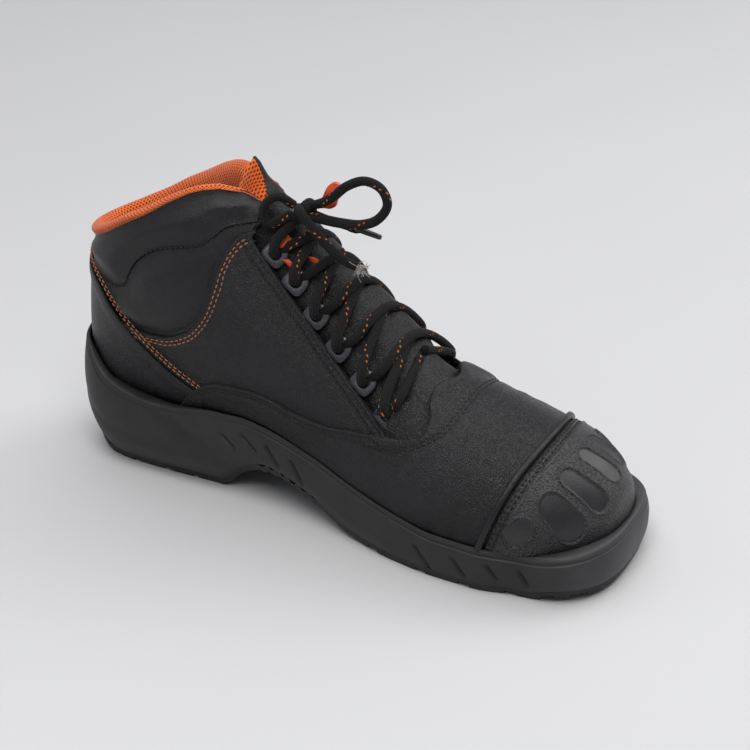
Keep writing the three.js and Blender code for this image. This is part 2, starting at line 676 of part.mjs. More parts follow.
// A padded strip tucked under both edges of the throat.
function buildTongue() {
  const top = [
    [0.29 * SOLE_LENGTH, 1.06 * COLLAR_HEIGHT], [0.33 * SOLE_LENGTH, 1.055 * COLLAR_HEIGHT],
    [0.5 * SOLE_LENGTH, 1.04 * COLLAR_HEIGHT], [0.5 * SOLE_LENGTH, 2 * COLLAR_HEIGHT],
    [0, 2 * COLLAR_HEIGHT], [0, 1.07 * COLLAR_HEIGHT],
  ];
  const slope = [
    [-0.3 * BALL_WIDTH, 0.92 * COLLAR_HEIGHT], [-0.144 * BALL_WIDTH, 0.945 * COLLAR_HEIGHT],
    [-0.09 * BALL_WIDTH, 1.0 * COLLAR_HEIGHT], [0, 1.055 * COLLAR_HEIGHT],
    [0, 2 * COLLAR_HEIGHT], [-0.3 * BALL_WIDTH, 2 * COLLAR_HEIGHT],
  ];
  const under = [
    [0, 0.77 * COLLAR_HEIGHT], [0.35 * SOLE_LENGTH, 0.76 * COLLAR_HEIGHT],
    [0.62 * SOLE_LENGTH, 0.33 * COLLAR_HEIGHT], [0.8 * SOLE_LENGTH, 0.29 * COLLAR_HEIGHT],
    [0.8 * SOLE_LENGTH, 0], [0, 0],
  ];
  const narrow = THROAT_LINE.map(([x, y]) => [Math.max(x, 0.27) * SOLE_LENGTH, y * BALL_WIDTH]);
  const near = narrow.map(([x, y]) => {
    const inside = x > 0.68 * SOLE_LENGTH ? 0.5 : 1;
    return [x + TUCK * inside, y - TUCK * inside];
  });
  near[near.length - 1] = [near[near.length - 1][0], 0];
  const outline = [...near, ...near.slice(0, -1).reverse().map(([x, y]) => [x, -y])];
  return footForm(-WALL - GAP)
    .subtract(footForm(-WALL - GAP - TONGUE, 6))
    .intersect(bar(outline, 'z', 40, 400))
    .subtract(bar(top, 'y', ...BOTH))
    .subtract(bar(slope, 'x', 0, 0.42 * SOLE_LENGTH))
    .subtract(bar(under, 'y', ...BOTH));
}

function buildGuard() {
  const area = bar([
    ...moved(TOE_LINE, GAP + 1.4, 0), [0.8 * SOLE_LENGTH, -40],
    [1.3 * SOLE_LENGTH, -40], [1.3 * SOLE_LENGTH, 0.8 * COLLAR_HEIGHT],
  ], 'y', ...BOTH);
  let solid = clipped(skin(GAP, GAP + GUARD).intersect(area));
  const pits = skin(GAP + GUARD - OVAL_DEPTH, GAP + GUARD + 3);
  for (const oval of OVALS) {
    solid = solid.subtract(ovalCutter(oval).intersect(pits));
  }
  return solid;
}

// The frame of the form's surface at a place: outward, along to the toe and up the side.
function surfaceFrame(station, up, side) {
  const middle = formPoint(station, up, side);
  const ahead = formPoint(station - 0.008, up, side).sub(formPoint(station + 0.008, up, side));
  const above = formPoint(station, Math.min(up + 0.02, 1), side)
    .sub(formPoint(station, up - 0.02, side)).normalize();
  const out = ahead.clone().cross(above).multiplyScalar(side < 0 ? -1 : 1).normalize();
  if (out.z < 0 && up > 0.6) {
    out.negate();
  }
  if (out.y * side < 0 && up <= 0.6) {
    out.negate();
  }
  above.sub(out.clone().multiplyScalar(above.dot(out))).normalize();
  const along = out.clone().cross(above).normalize();
  return { middle, out, above, along };
}

// A bar with a rounded outline standing on a plane, from one height to another.
function standing(frame, across, lengthwise, outline, from, to) {
  const flat = outline.map(([a, b]) => new THREE.Vector2(a, b));
  if (THREE.ShapeUtils.isClockWise(flat)) {
    flat.reverse();
  }
  const triangles = THREE.ShapeUtils.triangulateShape(flat, []);
  const size = flat.length;
  const points = [];
  for (const level of [from, to]) {
    for (const { x, y } of flat) {
      const point = frame.middle.clone()
        .addScaledVector(across, x)
        .addScaledVector(lengthwise, y)
        .addScaledVector(frame.out, level);
      points.push(point.x, point.y, point.z);
    }
  }
  const faces = [];
  for (const [a, b, c] of triangles) {
    faces.push(a, c, b, a + size, b + size, c + size);
  }
  for (let i = 0; i < size; i += 1) {
    const j = (i + 1) % size;
    faces.push(i, j, i + size, j, j + size, i + size);
  }
  return solidFrom(points, faces);
}

function stadium(long, wide, steps) {
  const radius = wide / 2;
  const straight = long / 2 - radius;
  const outline = [];
  for (const end of [1, -1]) {
    for (let i = 0; i <= steps; i += 1) {
      const angle = (Math.PI * i) / steps;
      outline.push([end * radius * Math.cos(angle), end * (straight + radius * Math.sin(angle))]);
    }
  }
  return outline;
}

// An upright cutter over the line between the two ends of an oval.
function ovalCutter(oval) {
  const station = (oval.top[0] + oval.foot[0]) / 2;
  const up = (oval.top[1] + oval.foot[1]) / 2;
  const frame = surfaceFrame(station, up, oval.side);
  const lengthwise = formPoint(...oval.foot, oval.side).sub(formPoint(...oval.top, oval.side));
  const long = lengthwise.length();
  lengthwise.addScaledVector(frame.out, -lengthwise.dot(frame.out)).normalize();
  const across = lengthwise.clone().cross(frame.out).normalize();
  return standing(frame, across, lengthwise, stadium(long, oval.wide, 6), -8, 12);
}

function buildToeSeam() {
  const area = bar([
    ...moved(TOE_LINE, -2.6 + GAP, 0),
    ...moved(TOE_LINE, 1.4, 0).reverse(),
  ], 'y', ...BOTH);
  return clipped(skin(GAP, GAP + SEAM).intersect(area));
}

// A flat loop for the lace, its straight side along the edge of the throat.
function buildEyelet(place, side) {
  const [station, up] = place;
  const frame = surfaceFrame(station, up, side);
  const edge = surfaceFrame(station + 0.02, up, side).middle
    .sub(surfaceFrame(station - 0.02, up, side).middle).normalize();
  edge.addScaledVector(frame.out, -edge.dot(frame.out)).normalize();
  const inward = edge.clone().cross(frame.out).normalize();
  if (inward.y * side > 0) {
    inward.negate();
  }
  const half = EYELET_WIDTH / 2;
  const outline = [
    [-half, -0.42 * EYELET_REACH], [half, -0.42 * EYELET_REACH], [0.8 * half, 0.05 * EYELET_REACH],
    [0.45 * half, 0.45 * EYELET_REACH], [0, 0.58 * EYELET_REACH],
    [-0.45 * half, 0.45 * EYELET_REACH], [-0.8 * half, 0.05 * EYELET_REACH],
  ];
  const hole = [];
  for (let i = 0; i < 6; i += 1) {
    const angle = (2 * Math.PI * i) / 6;
    hole.push([EYELET_HOLE * Math.cos(angle), EYELET_HOLE * Math.sin(angle) - 0.2]);
  }
  const plate = standing(frame, edge, inward, outline, -EYELET_THICKNESS - 0.3, -0.3);
  return plate
    .subtract(standing(frame, edge, inward, hole, -8, 8))
    .intersect(bar(throatOutline(-GAP), 'z', 30, 400));
}

// A round cord through points.
function cord(points, radius, sides = 6, closed = false, perPoint = 2) {
  const curve = new THREE.CatmullRomCurve3(points, closed, 'centripetal');
  const steps = (points.length - 1) * perPoint;
  const rings = [];
  let up = new THREE.Vector3(0.2, 0.3, 1).normalize();
  for (let i = 0; i <= steps; i += 1) {
    const at = curve.getPoint(i / steps);
    const ahead = curve.getTangent(i / steps);
    const sideways = ahead.clone().cross(up).normalize();
    up = sideways.clone().cross(ahead).normalize();
    const ring = [];
    for (let j = 0; j < sides; j += 1) {
      const angle = (2 * Math.PI * (j + 0.5)) / sides;
      ring.push(at.clone()
        .addScaledVector(sideways, radius * Math.cos(angle))
        .addScaledVector(up, radius * Math.sin(angle)));
    }
    rings.push(ring);
  }
  return lofted(rings);
}

// A point above the form, between two places on its near and far side.
function above(station, across, height) {
  const side = across < 0 ? -1 : 1;
  const up = 1 - Math.abs(across);
  const frame = surfaceFrame(station, Math.min(up, 0.985), side);
  return formPoint(station, up, side).addScaledVector(frame.out, height);
}

const LACE_HEIGHT = LACE_RADIUS + 1.2;

function laceRun(from, to) {
  const points = [];
  const steps = 3;
  for (let i = 0; i <= steps; i += 1) {
    const share = i / steps;
    const station = from.station * (1 - share) + to.station * share;
    const across = from.across * (1 - share) + to.across * share;
    points.push(above(station, across, LACE_HEIGHT + 1.2 * Math.sin(Math.PI * share)));
  }
  return cord(points, LACE_RADIUS, 4, false, 1);
}

function laceSpot(index, side) {
  const [station, up] = EYELET_PLACES[index];
  return { station, across: side * (1 - up) };
}

// Where the bow is tied, in front of the collar.
const BOW = new THREE.Vector3(0.421 * SOLE_LENGTH, -0.03 * BALL_WIDTH, 0.936 * COLLAR_HEIGHT);
const KNOT = [6.2, 8, 6];

function fromBow(rows) {
  return rows.map(([x, y, z]) => new THREE.Vector3(x, y, z).add(BOW));
}

function buildKnot(grow) {
  const [long, wide, high] = KNOT.map((size) => size + grow);
  const rings = [];
  for (let i = 1; i < 7; i += 1) {
    const turn = (Math.PI * i) / 7;
    const ring = [];
    for (let j = 0; j < 8; j += 1) {
      const angle = (2 * Math.PI * j) / 8;
      ring.push(new THREE.Vector3(
        long * Math.sin(turn) * Math.cos(angle),
        wide * Math.cos(turn),
        high * Math.sin(turn) * Math.sin(angle),
      ).add(BOW));
    }
    rings.push(ring);
  }
  return lofted(rings);
}

function buildCrossings(clearance) {
  let solid = laceRun(laceSpot(0, -1), laceSpot(0, 1));
  const top = EYELET_PLACES.length - 1;
  for (let i = 0; i < top; i += 1) {
    solid = solid.add(laceRun(laceSpot(i, -1), laceSpot(i + 1, 1)));
    solid = solid.add(laceRun(laceSpot(i, 1), laceSpot(i + 1, -1)));
  }
  for (const side of [-1, 1]) {
    const spot = laceSpot(top, side);
    const start = above(spot.station, spot.across, LACE_HEIGHT);
    const end = BOW.clone().add(new THREE.Vector3(-1, 2 * side, -3));
    const middle = start.clone().lerp(end, 0.5).add(new THREE.Vector3(1.5, 1.5 * side, 1));
    solid = solid.add(cord([start, middle, end], LACE_RADIUS, 4, false, 1));
  }
  return solid.subtract(clearance);
}

function buildBowPiece(rows, clearance) {
  return cord(fromBow(rows), LACE_RADIUS, 6).subtract(clearance);
}

const LARGE_LOOP = [
  [3.5, -0.5, 2.8], [10, -2.2, 5.6], [17, -3.6, 10], [26, -5, 18], [36, -6, 22.5], [44, -6, 20],
  [47, -6, 13], [42, -6, 5], [33, -5.4, 0.5], [22, -4.8, -0.8], [13, -4.2, -1], [4, -3, -1.2],
];
const SMALL_LOOP = [
  [-3, -3.5, 3], [-8, -8.5, 8], [-12.2, -11.5, 6], [-14, -13, 0], [-12.4, -12.6, -4.6],
  [-8, -8.6, -4], [-3, -4.4, -1],
];
const FIRST_END = [[3.4, 2.8, -2.6], [10, 3.4, -4.2], [17, 2.6, -4.4], [28, 1.4, -5], [40, 0.5, -6.4]];
const SECOND_END = [
  [1, -5.4, 2.4], [3.6, -9.6, 3.2], [9, -10.6, -1.8], [17, -10.4, -9.6], [25, -9.6, -16], [33, -9, -19],
];
const TAG = [
  [3, 2.4], [8, 5.6], [9.5, 8.4], [11.6, 12.6], [15.4, 15.4], [18.8, 14], [19.8, 10.4], [17, 7.4],
  [15.8, 3.6], [12.6, 2.6], [9.6, 2.4], [4, 0],
];

function buildTag(clearance) {
  const outline = TAG.map(([x, z]) => [x + BOW.x, z + BOW.z]);
  return bar(outline, 'y', BOW.y + 2.2, BOW.y + 4.8).subtract(clearance);
}

// Nodes and their finishes.
const FINISHES = {
  rubber: { color: 0x1d1e20, roughness: 0.85, metalness: 0 },
  foam: { color: 0x2a2b2e, roughness: 0.8, metalness: 0 },
  leather: { color: 0x1c1c1f, roughness: 0.55, metalness: 0 },
  scuff: { color: 0x242427, roughness: 0.7, metalness: 0 },
  mesh: { color: 0xe0611c, roughness: 0.9, metalness: 0 },
  plastic: { color: 0x4b4d57, roughness: 0.45, metalness: 0 },
  lace: { color: 0x18181a, roughness: 0.9, metalness: 0 },
  tag: { color: 0xe8481c, roughness: 0.3, metalness: 0 },
  felt: { color: 0x3a3a3d, roughness: 0.95, metalness: 0 },
};

// The largest piece of a solid, with points closer than the fineness joined.
function tidy(solid, fineness) {
  const pieces = solid.decompose();
  const largest = pieces.reduce((best, piece) => (piece.volume() > best.volume() ? piece : best));
  return largest.simplify(fineness);
}

function named(name, solid, finish) {
  const mesh = tidy(solid, finish === 'lace' ? LACE_FINENESS : FINENESS).getMesh();
  const geometry = new THREE.BufferGeometry();
  geometry.setAttribute('position', new THREE.BufferAttribute(new Float32Array(mesh.vertProperties), 3));
  geometry.setIndex(new THREE.BufferAttribute(new Uint32Array(mesh.triVerts), 1));
  geometry.computeVertexNormals();
  const node = new THREE.Mesh(geometry, new THREE.MeshStandardMaterial(FINISHES[finish]));
  node.name = name;
  return node;
}

const shoe = new THREE.Group();
shoe.name = 'safety_shoe';
shoe.add(named('outsole', buildOutsole(), 'rubber'));
shoe.add(named('midsole', buildMidsole(), 'foam'));
shoe.add(named('insole', buildInsole(), 'felt'));
shoe.add(named('upper', buildUpper(), 'leather'));
shoe.add(named('tongue', buildTongue(), 'leather'));
shoe.add(named('collar_lining', buildCollarLining(), 'mesh'));
shoe.add(named('vamp', buildVamp(), 'leather'));
shoe.add(named('quarter_near', buildQuarter(NEAR), 'leather'));
shoe.add(named('quarter_far', buildQuarter(FAR), 'leather'));
shoe.add(named('ankle_pad_near', buildAnklePad(NEAR), 'leather'));
shoe.add(named('ankle_pad_far', buildAnklePad(mirrored(NEAR)), 'leather'));
shoe.add(named('cuff', buildCuff(), 'leather'));
shoe.add(named('heel_counter', buildCounter(), 'leather'));
shoe.add(named('toe_guard', buildGuard(), 'scuff'));
shoe.add(named('toe_seam', buildToeSeam(), 'leather'));
EYELET_PLACES.forEach((place, index) => {
  shoe.add(named(`eyelet_near_${index + 1}`, buildEyelet(place, -1), 'plastic'));
  shoe.add(named(`eyelet_far_${index + 1}`, buildEyelet(place, 1), 'plastic'));
});
const clearance = buildKnot(0.08);
shoe.add(named('lace_crossings', buildCrossings(clearance), 'lace'));
shoe.add(named('lace_knot', buildKnot(0), 'lace'));
shoe.add(named('lace_loop_large', buildBowPiece(LARGE_LOOP, clearance), 'lace'));
shoe.add(named('lace_loop_small', buildBowPiece(SMALL_LOOP, clearance), 'lace'));
shoe.add(named('lace_end_tipped', buildBowPiece(FIRST_END, clearance), 'lace'));
shoe.add(named('lace_end_frayed', buildBowPiece(SECOND_END, clearance), 'lace'));
shoe.add(named('bow_tag', buildTag(clearance), 'tag'));

// The origin is under the middle of the shoe, measured without the bow.
const BOW_PIECES = ['lace_knot', 'lace_loop', 'lace_end', 'bow_tag'];
const extent = new THREE.Box3();
for (const node of shoe.children) {
  node.geometry.computeBoundingBox();
  if (!BOW_PIECES.some((name) => node.name.startsWith(name))) {
    extent.union(node.geometry.boundingBox);
  }
}
const centre = extent.getCenter(new THREE.Vector3());
for (const node of shoe.children) {
  node.geometry.translate(-centre.x, -centre.y, -extent.min.z);
}

export default shoe;
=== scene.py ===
"""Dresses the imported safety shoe: leather panels, stitching, lining, laces, eyelets and sole."""
from __future__ import annotations

import logging
import math
from dataclasses import dataclass, field
from enum import Enum
from typing import Callable, Sequence

import bpy
import numpy as np
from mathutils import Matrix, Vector, geometry

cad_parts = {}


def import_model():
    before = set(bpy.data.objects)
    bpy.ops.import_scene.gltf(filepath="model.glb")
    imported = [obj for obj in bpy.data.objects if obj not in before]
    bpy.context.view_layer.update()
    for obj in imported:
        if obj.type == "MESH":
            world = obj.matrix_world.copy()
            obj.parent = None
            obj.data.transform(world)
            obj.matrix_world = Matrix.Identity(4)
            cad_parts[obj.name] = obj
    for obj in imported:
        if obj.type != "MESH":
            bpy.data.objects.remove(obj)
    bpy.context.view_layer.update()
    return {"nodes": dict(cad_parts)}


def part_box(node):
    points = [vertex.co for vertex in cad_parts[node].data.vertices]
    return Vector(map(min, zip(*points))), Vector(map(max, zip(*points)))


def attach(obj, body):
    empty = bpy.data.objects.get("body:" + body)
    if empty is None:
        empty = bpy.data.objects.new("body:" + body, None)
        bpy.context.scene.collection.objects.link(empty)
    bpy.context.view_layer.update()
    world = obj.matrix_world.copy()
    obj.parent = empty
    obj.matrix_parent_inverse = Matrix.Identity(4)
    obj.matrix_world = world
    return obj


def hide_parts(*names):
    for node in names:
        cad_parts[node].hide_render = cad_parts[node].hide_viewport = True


Array = np.ndarray
Line = Sequence[Sequence[float]]
Heights = Callable[[Array], Array]
Socket = bpy.types.NodeSocket
Colour = tuple[float, float, float]

LOG = logging.getLogger("shoe")
MM = 0.001
SOLE_LENGTH, BALL_WIDTH, COLLAR_HEIGHT = 301.0, 111.0, 155.0
TREAD = 4.6
LACE = 2.5
ACROSS, ALONG = 100.0, 280.0
CHART_MM = (ALONG, ACROSS)


class Side(Enum):
    """The two sides of the shoe; near is the side that the camera sees."""

    NEAR = -1
    FAR = 1

    @property
    def other(self) -> Side:
        """Return the side across the shoe."""
        return Side(-self.value)


class Slot(Enum):
    """Material slots of the record."""

    TREAD = "tread_rubber"
    FOAM = "sole_foam"
    LEATHER = "leather"
    SOFT = "soft_leather"
    LINING = "lining_mesh"
    SCUFF = "scuff_rubber"
    EYELET = "eyelet_plastic"
    LACE = "lace_cord"
    TAG = "tag_plastic"


# Shader nodes


class Nodes:
    """Builds a material's node tree with short calls."""

    def __init__(self, name: str) -> None:
        """Start a material with one Principled shader."""
        self.material = bpy.data.materials.new(name)
        self.material.use_nodes = True
        self.tree = self.material.node_tree
        self.shader = self.tree.nodes["Principled BSDF"]

    def link(self, source: Socket, target: Socket) -> None:
        """Join two sockets."""
        self.tree.links.new(source, target)

    def node(self, kind: str, inputs: dict | None = None, **settings: object) -> bpy.types.Node:
        """Add a node.

        Args:
            kind: the node's type name without its leading words.
            inputs: values or sockets for its inputs, by name or number.
            settings: attributes of the node.

        Returns:
            The new node.
        """
        made = self.tree.nodes.new("ShaderNode" + kind)
        for key, value in settings.items():
            setattr(made, key, value)
        for key, value in (inputs or {}).items():
            if isinstance(value, Socket):
                self.link(value, made.inputs[key])
            else:
                made.inputs[key].default_value = value
        return made

    def math(self, operation: str, first: object, second: object = 0.5, third: object = 0.5) -> Socket:
        """Return the result of a Math node."""
        made = self.node("Math", {0: first, 1: second, 2: third}, operation=operation)
        return made.outputs[0]

    def plus(self, first: object, second: object, share: float) -> Socket:
        """Return a value with a share of another one added."""
        return self.math("ADD", first, self.math("MULTIPLY", second, share))

    def noise(self, place: object, scale: float, detail: float = 3.0, rough: float = 0.55) -> Socket:
        """Return a noise value at a place."""
        made = self.node("TexNoise", {"Vector": place, "Scale": scale, "Detail": detail, "Roughness": rough})
        return made.outputs["Fac"]

    def cells(self, place: object, scale: float, feature: str = "F1") -> Socket:
        """Return the distance to the nearest cell point or cell edge."""
        made = self.node("TexVoronoi", {"Vector": place, "Scale": scale}, feature=feature)
        return made.outputs["Distance"]

    def span(self, value: object, low: float, high: float, to_low: float, to_high: float) -> Socket:
        """Return a value carried from one range to another."""
        made = self.node("MapRange", {0: value, 1: low, 2: high, 3: to_low, 4: to_high})
        return made.outputs[0]

    def blend(self, share: object, first: object, second: object) -> Socket:
        """Return a mix of two colours."""
        made = self.node("Mix", data_type="RGBA")
        for index, value in ((0, share), (6, first), (7, second)):
            if isinstance(value, Socket):
                self.link(value, made.inputs[index])
            else:
                made.inputs[index].default_value = value if index == 0 else (*value, 1.0)
        return made.outputs[2]

    def bump(self, height: object, strength: float, depth: float) -> Socket:
        """Return a normal bent by a height in millimetres."""
        made = self.node("Bump", {"Height": height, "Strength": strength, "Distance": depth * MM})
        return made.outputs[0]

    def finish(self, **sockets: object) -> bpy.types.Material:
        """Set or join the shader's sockets and return the material."""
        for key, value in sockets.items():
            target = self.shader.inputs[key.replace("_", " ")]
            if isinstance(value, Socket):
                self.link(value, target)
            elif isinstance(value, tuple) and len(value) == 3:
                target.default_value = (*value, 1.0)
            else:
                target.default_value = value
        return self.material


@dataclass(frozen=True)
class Leather:
    """Grained black leather."""

    name: str
    dark: Colour
    light: Colour
    grain: float
    depth: float
    rough: float
    sheen: float = 0.0

    def build(self) -> bpy.types.Material:
        """Return the leather's material."""
        kit = Nodes(self.name)
        place = kit.node("TexCoord").outputs["Object"]
        warp = kit.node("VectorMath", {0: place, 1: kit.node("VectorMath", {
            0: kit.node("TexNoise", {"Vector": place, "Scale": 260.0}).outputs["Color"],
            "Scale": 0.0012}, operation="SCALE").outputs[0]}, operation="ADD").outputs[0]
        pebble = kit.cells(warp, self.grain, "DISTANCE_TO_EDGE")
        pore = kit.noise(place, self.grain * 2.2, 4.0)
        crease = kit.noise(place, self.grain * 0.22, 5.0, 0.7)
        broad = kit.noise(place, 26.0, 3.0)
        height = kit.math("ADD", kit.span(pebble, 0.0, 0.28, 0.0, 0.55), kit.math("MULTIPLY", pore, 0.45))
        height = kit.plus(height, crease, 0.6)
        shade = kit.span(kit.plus(broad, crease, 0.5), 0.55, 0.95, 0.0, 1.0)
        rough = kit.span(kit.math("ADD", pore, broad), 0.7, 1.3, self.rough - 0.08, self.rough + 0.1)
        return kit.finish(
            Base_Color=kit.blend(shade, self.dark, self.light), Roughness=rough,
            Normal=kit.bump(height, 0.9, self.depth), Specular_IOR_Level=0.34,
            Sheen_Weight=self.sheen, Sheen_Roughness=0.5,
        )


@dataclass(frozen=True)
class Moulded:
    """Matt moulded rubber or foam, with fine texture and dust, and an optional painted highlight towards the toe.
    """

    name: str
    colour: Colour
    dust: Colour
    grain: float
    depth: float
    rough: float
    specular: float = 0.35
    strength: float = 0.5
    # Share of the painted highlight blended in towards the toe.
    toe_highlight: float = 0.0

    def build(self) -> bpy.types.Material:
        """Return the moulded material."""
        kit = Nodes(self.name)
        place = kit.node("TexCoord").outputs["Object"]
        fine = kit.noise(place, self.grain, 3.0, 0.6)
        pits = kit.span(kit.cells(place, self.grain * 0.55), 0.1, 0.5, 0.0, 1.0)
        broad = kit.noise(place, 34.0, 5.0, 0.65)
        specks = kit.span(kit.noise(place, 700.0, 2.0), 0.7, 0.8, 0.0, 0.6)
        wear = kit.math("ADD", kit.span(broad, 0.42, 0.75, 0.0, 0.8), specks)
        height = kit.math("ADD", kit.math("MULTIPLY", fine, 0.7), kit.math("MULTIPLY", pits, 0.5))
        colour = kit.blend(wear, self.colour, self.dust)
        if self.toe_highlight:
            # Painted highlight: towards the toe the colour is blended, through noise, to a paler grey.
            toe = kit.span(kit.node("SeparateXYZ", {0: place}).outputs[0], 0.112, 0.148, 0.0, self.toe_highlight)
            colour = kit.blend(kit.math("MULTIPLY", toe, kit.span(broad, 0.3, 0.6, 0.5, 1.0)), colour,
                               (0.062, 0.063, 0.066))
        return kit.finish(
            Base_Color=colour,
            Roughness=kit.span(broad, 0.3, 0.7, self.rough - 0.06, self.rough + 0.08),
            Normal=kit.bump(height, self.strength, self.depth), Specular_IOR_Level=self.specular,
        )


@dataclass(frozen=True)
class SpacerMesh:
    """Knitted lining with staggered oval holes; the mesh's map is in millimetres."""

    name: str
    thread: Colour
    # Darker colour painted into the holes as their shade.
    hole: Colour
    pitch: float = 2.05

    def build(self) -> bpy.types.Material:
        """Return the knitted material."""
        kit = Nodes(self.name)
        uv = kit.node("TexCoord").outputs["UV"]
        cell = kit.node("VectorMath", {0: uv, 1: (1 / self.pitch, 1 / (self.pitch * 1.5), 0.0)},
                        operation="MULTIPLY")
        parts = []
        for shift in (0.0, 0.5):
            moved = kit.node("VectorMath", {0: cell.outputs[0], 1: (shift, shift, 0.0)}, operation="ADD")
            part = kit.node("VectorMath", {0: moved.outputs[0]}, operation="FRACTION")
            away = kit.node("VectorMath", {0: part.outputs[0], 1: (0.5, 0.5, 0.0)}, operation="SUBTRACT")
            oval = kit.node("VectorMath", {0: away.outputs[0], 1: (1.0, 1.15, 0.0)}, operation="MULTIPLY")
            parts.append(kit.node("VectorMath", {0: oval.outputs[0]}, operation="LENGTH").outputs["Value"])
        near = kit.math("MINIMUM", parts[0], parts[1])
        wobble = kit.math("MULTIPLY", kit.noise(uv, 1.4, 2.0), 0.12)
        open_ = kit.span(kit.math("ADD", near, wobble), 0.24, 0.36, 1.0, 0.0)
        knit = kit.noise(uv, 3.6, 3.0)
        broad = kit.noise(uv, 0.09, 2.0)
        lit = kit.blend(kit.span(kit.math("ADD", knit, broad), 0.7, 1.3, 0.0, 1.0), self.thread,
                        tuple(min(1.0, c * 1.35 + 0.01) for c in self.thread))
        height = kit.math("SUBTRACT", kit.math("MULTIPLY", knit, 0.4), open_)
        # The holes take the much darker hole colour: painted shade in the knit's openings.
        return kit.finish(
            Base_Color=kit.blend(open_, lit, self.hole), Roughness=0.85, Normal=kit.bump(height, 0.9, 0.6),
            Specular_IOR_Level=0.25, Sheen_Weight=0.35, Sheen_Roughness=0.4,
        )


@dataclass(frozen=True)
class Braid:
    """Ribbed black cord with orange flecks on a slow spiral; the map is millimetres along and a turn round."""

    name: str
    yarn: Colour
    fleck: Colour

    def build(self) -> bpy.types.Material:
        """Return the cord's material."""
        kit = Nodes(self.name)
        uv = kit.node("TexCoord").outputs["UV"]
        parts = kit.node("SeparateXYZ", {0: uv})
        along, turn = parts.outputs[0], parts.outputs[1]
        ribs = kit.math("SINE", kit.math("MULTIPLY", turn, 2 * math.pi * 14))
        slant = kit.math("ADD", kit.math("MULTIPLY", along, 1.3), kit.math("MULTIPLY", turn, 14.0))
        plait = kit.math("SINE", kit.math("MULTIPLY", slant, 2 * math.pi))
        height = kit.math("ADD", kit.math("MULTIPLY", ribs, 0.6), kit.math("MULTIPLY", plait, 0.45))
        spiral = kit.math("SUBTRACT", turn, kit.math("MULTIPLY", along, 1 / 31.0))
        pair = kit.math("MULTIPLY", kit.math("FLOOR", kit.math("MULTIPLY", along, 1 / 2.7)), 0.05)
        lane = kit.math("ABSOLUTE", kit.math("SUBTRACT", kit.math("FRACT", kit.math("ADD", spiral, kit.math(
            "PINGPONG", pair, 0.05))), 0.5))
        part = kit.math("FRACT", kit.math("MULTIPLY", along, 1 / 2.7))
        dash = kit.math("ABSOLUTE", kit.math("SUBTRACT", part, 0.5))
        spot = kit.math("MULTIPLY", kit.span(lane, 0.022, 0.034, 1.0, 0.0),
                        kit.span(dash, 0.17, 0.22, 1.0, 0.0))
        fuzz = kit.noise(kit.node("TexCoord").outputs["Object"], 1500.0, 3.0)
        # Painted shade and highlight: the yarn darkens in the plait's grooves and lightens up to 2.1 times on its
        # crests, where the bump rises.
        dark = kit.blend(kit.span(plait, -1.0, 1.0, 0.0, 1.0), self.yarn, tuple(c * 2.1 for c in self.yarn))
        height = kit.plus(height, fuzz, 0.6)
        height = kit.math("ADD", height, spot)
        return kit.finish(
            Base_Color=kit.blend(spot, dark, self.fleck), Roughness=0.78, Normal=kit.bump(height, 0.95, 0.45),
            Specular_IOR_Level=0.22, Sheen_Weight=0.04, Sheen_Roughness=0.5,
        )


@dataclass(frozen=True)
class Plain:
    """A smooth or threadlike finish with a little variation."""

    name: str
    colour: Colour
    rough: float
    coat: float = 0.0
    grain: float = 900.0
    depth: float = 0.08
    sheen: float = 0.0
    soft: float = 0.0

    def build(self) -> bpy.types.Material:
        """Return the material."""
        kit = Nodes(self.name)
        place = kit.node("TexCoord").outputs["Object"]
        fine = kit.noise(place, self.grain, 3.0)
        darker = tuple(c * 0.72 for c in self.colour)
        return kit.finish(
            Base_Color=kit.blend(kit.span(fine, 0.35, 0.65, 0.0, 1.0), darker, self.colour),
            Roughness=kit.span(fine, 0.3, 0.7, max(self.rough - 0.07, 0.05), self.rough + 0.07),
            Normal=kit.bump(fine, 0.4, self.depth), Coat_Weight=self.coat, Coat_Roughness=0.2,
            Sheen_Weight=self.sheen, Subsurface_Weight=self.soft, Subsurface_Scale=0.002,
        )


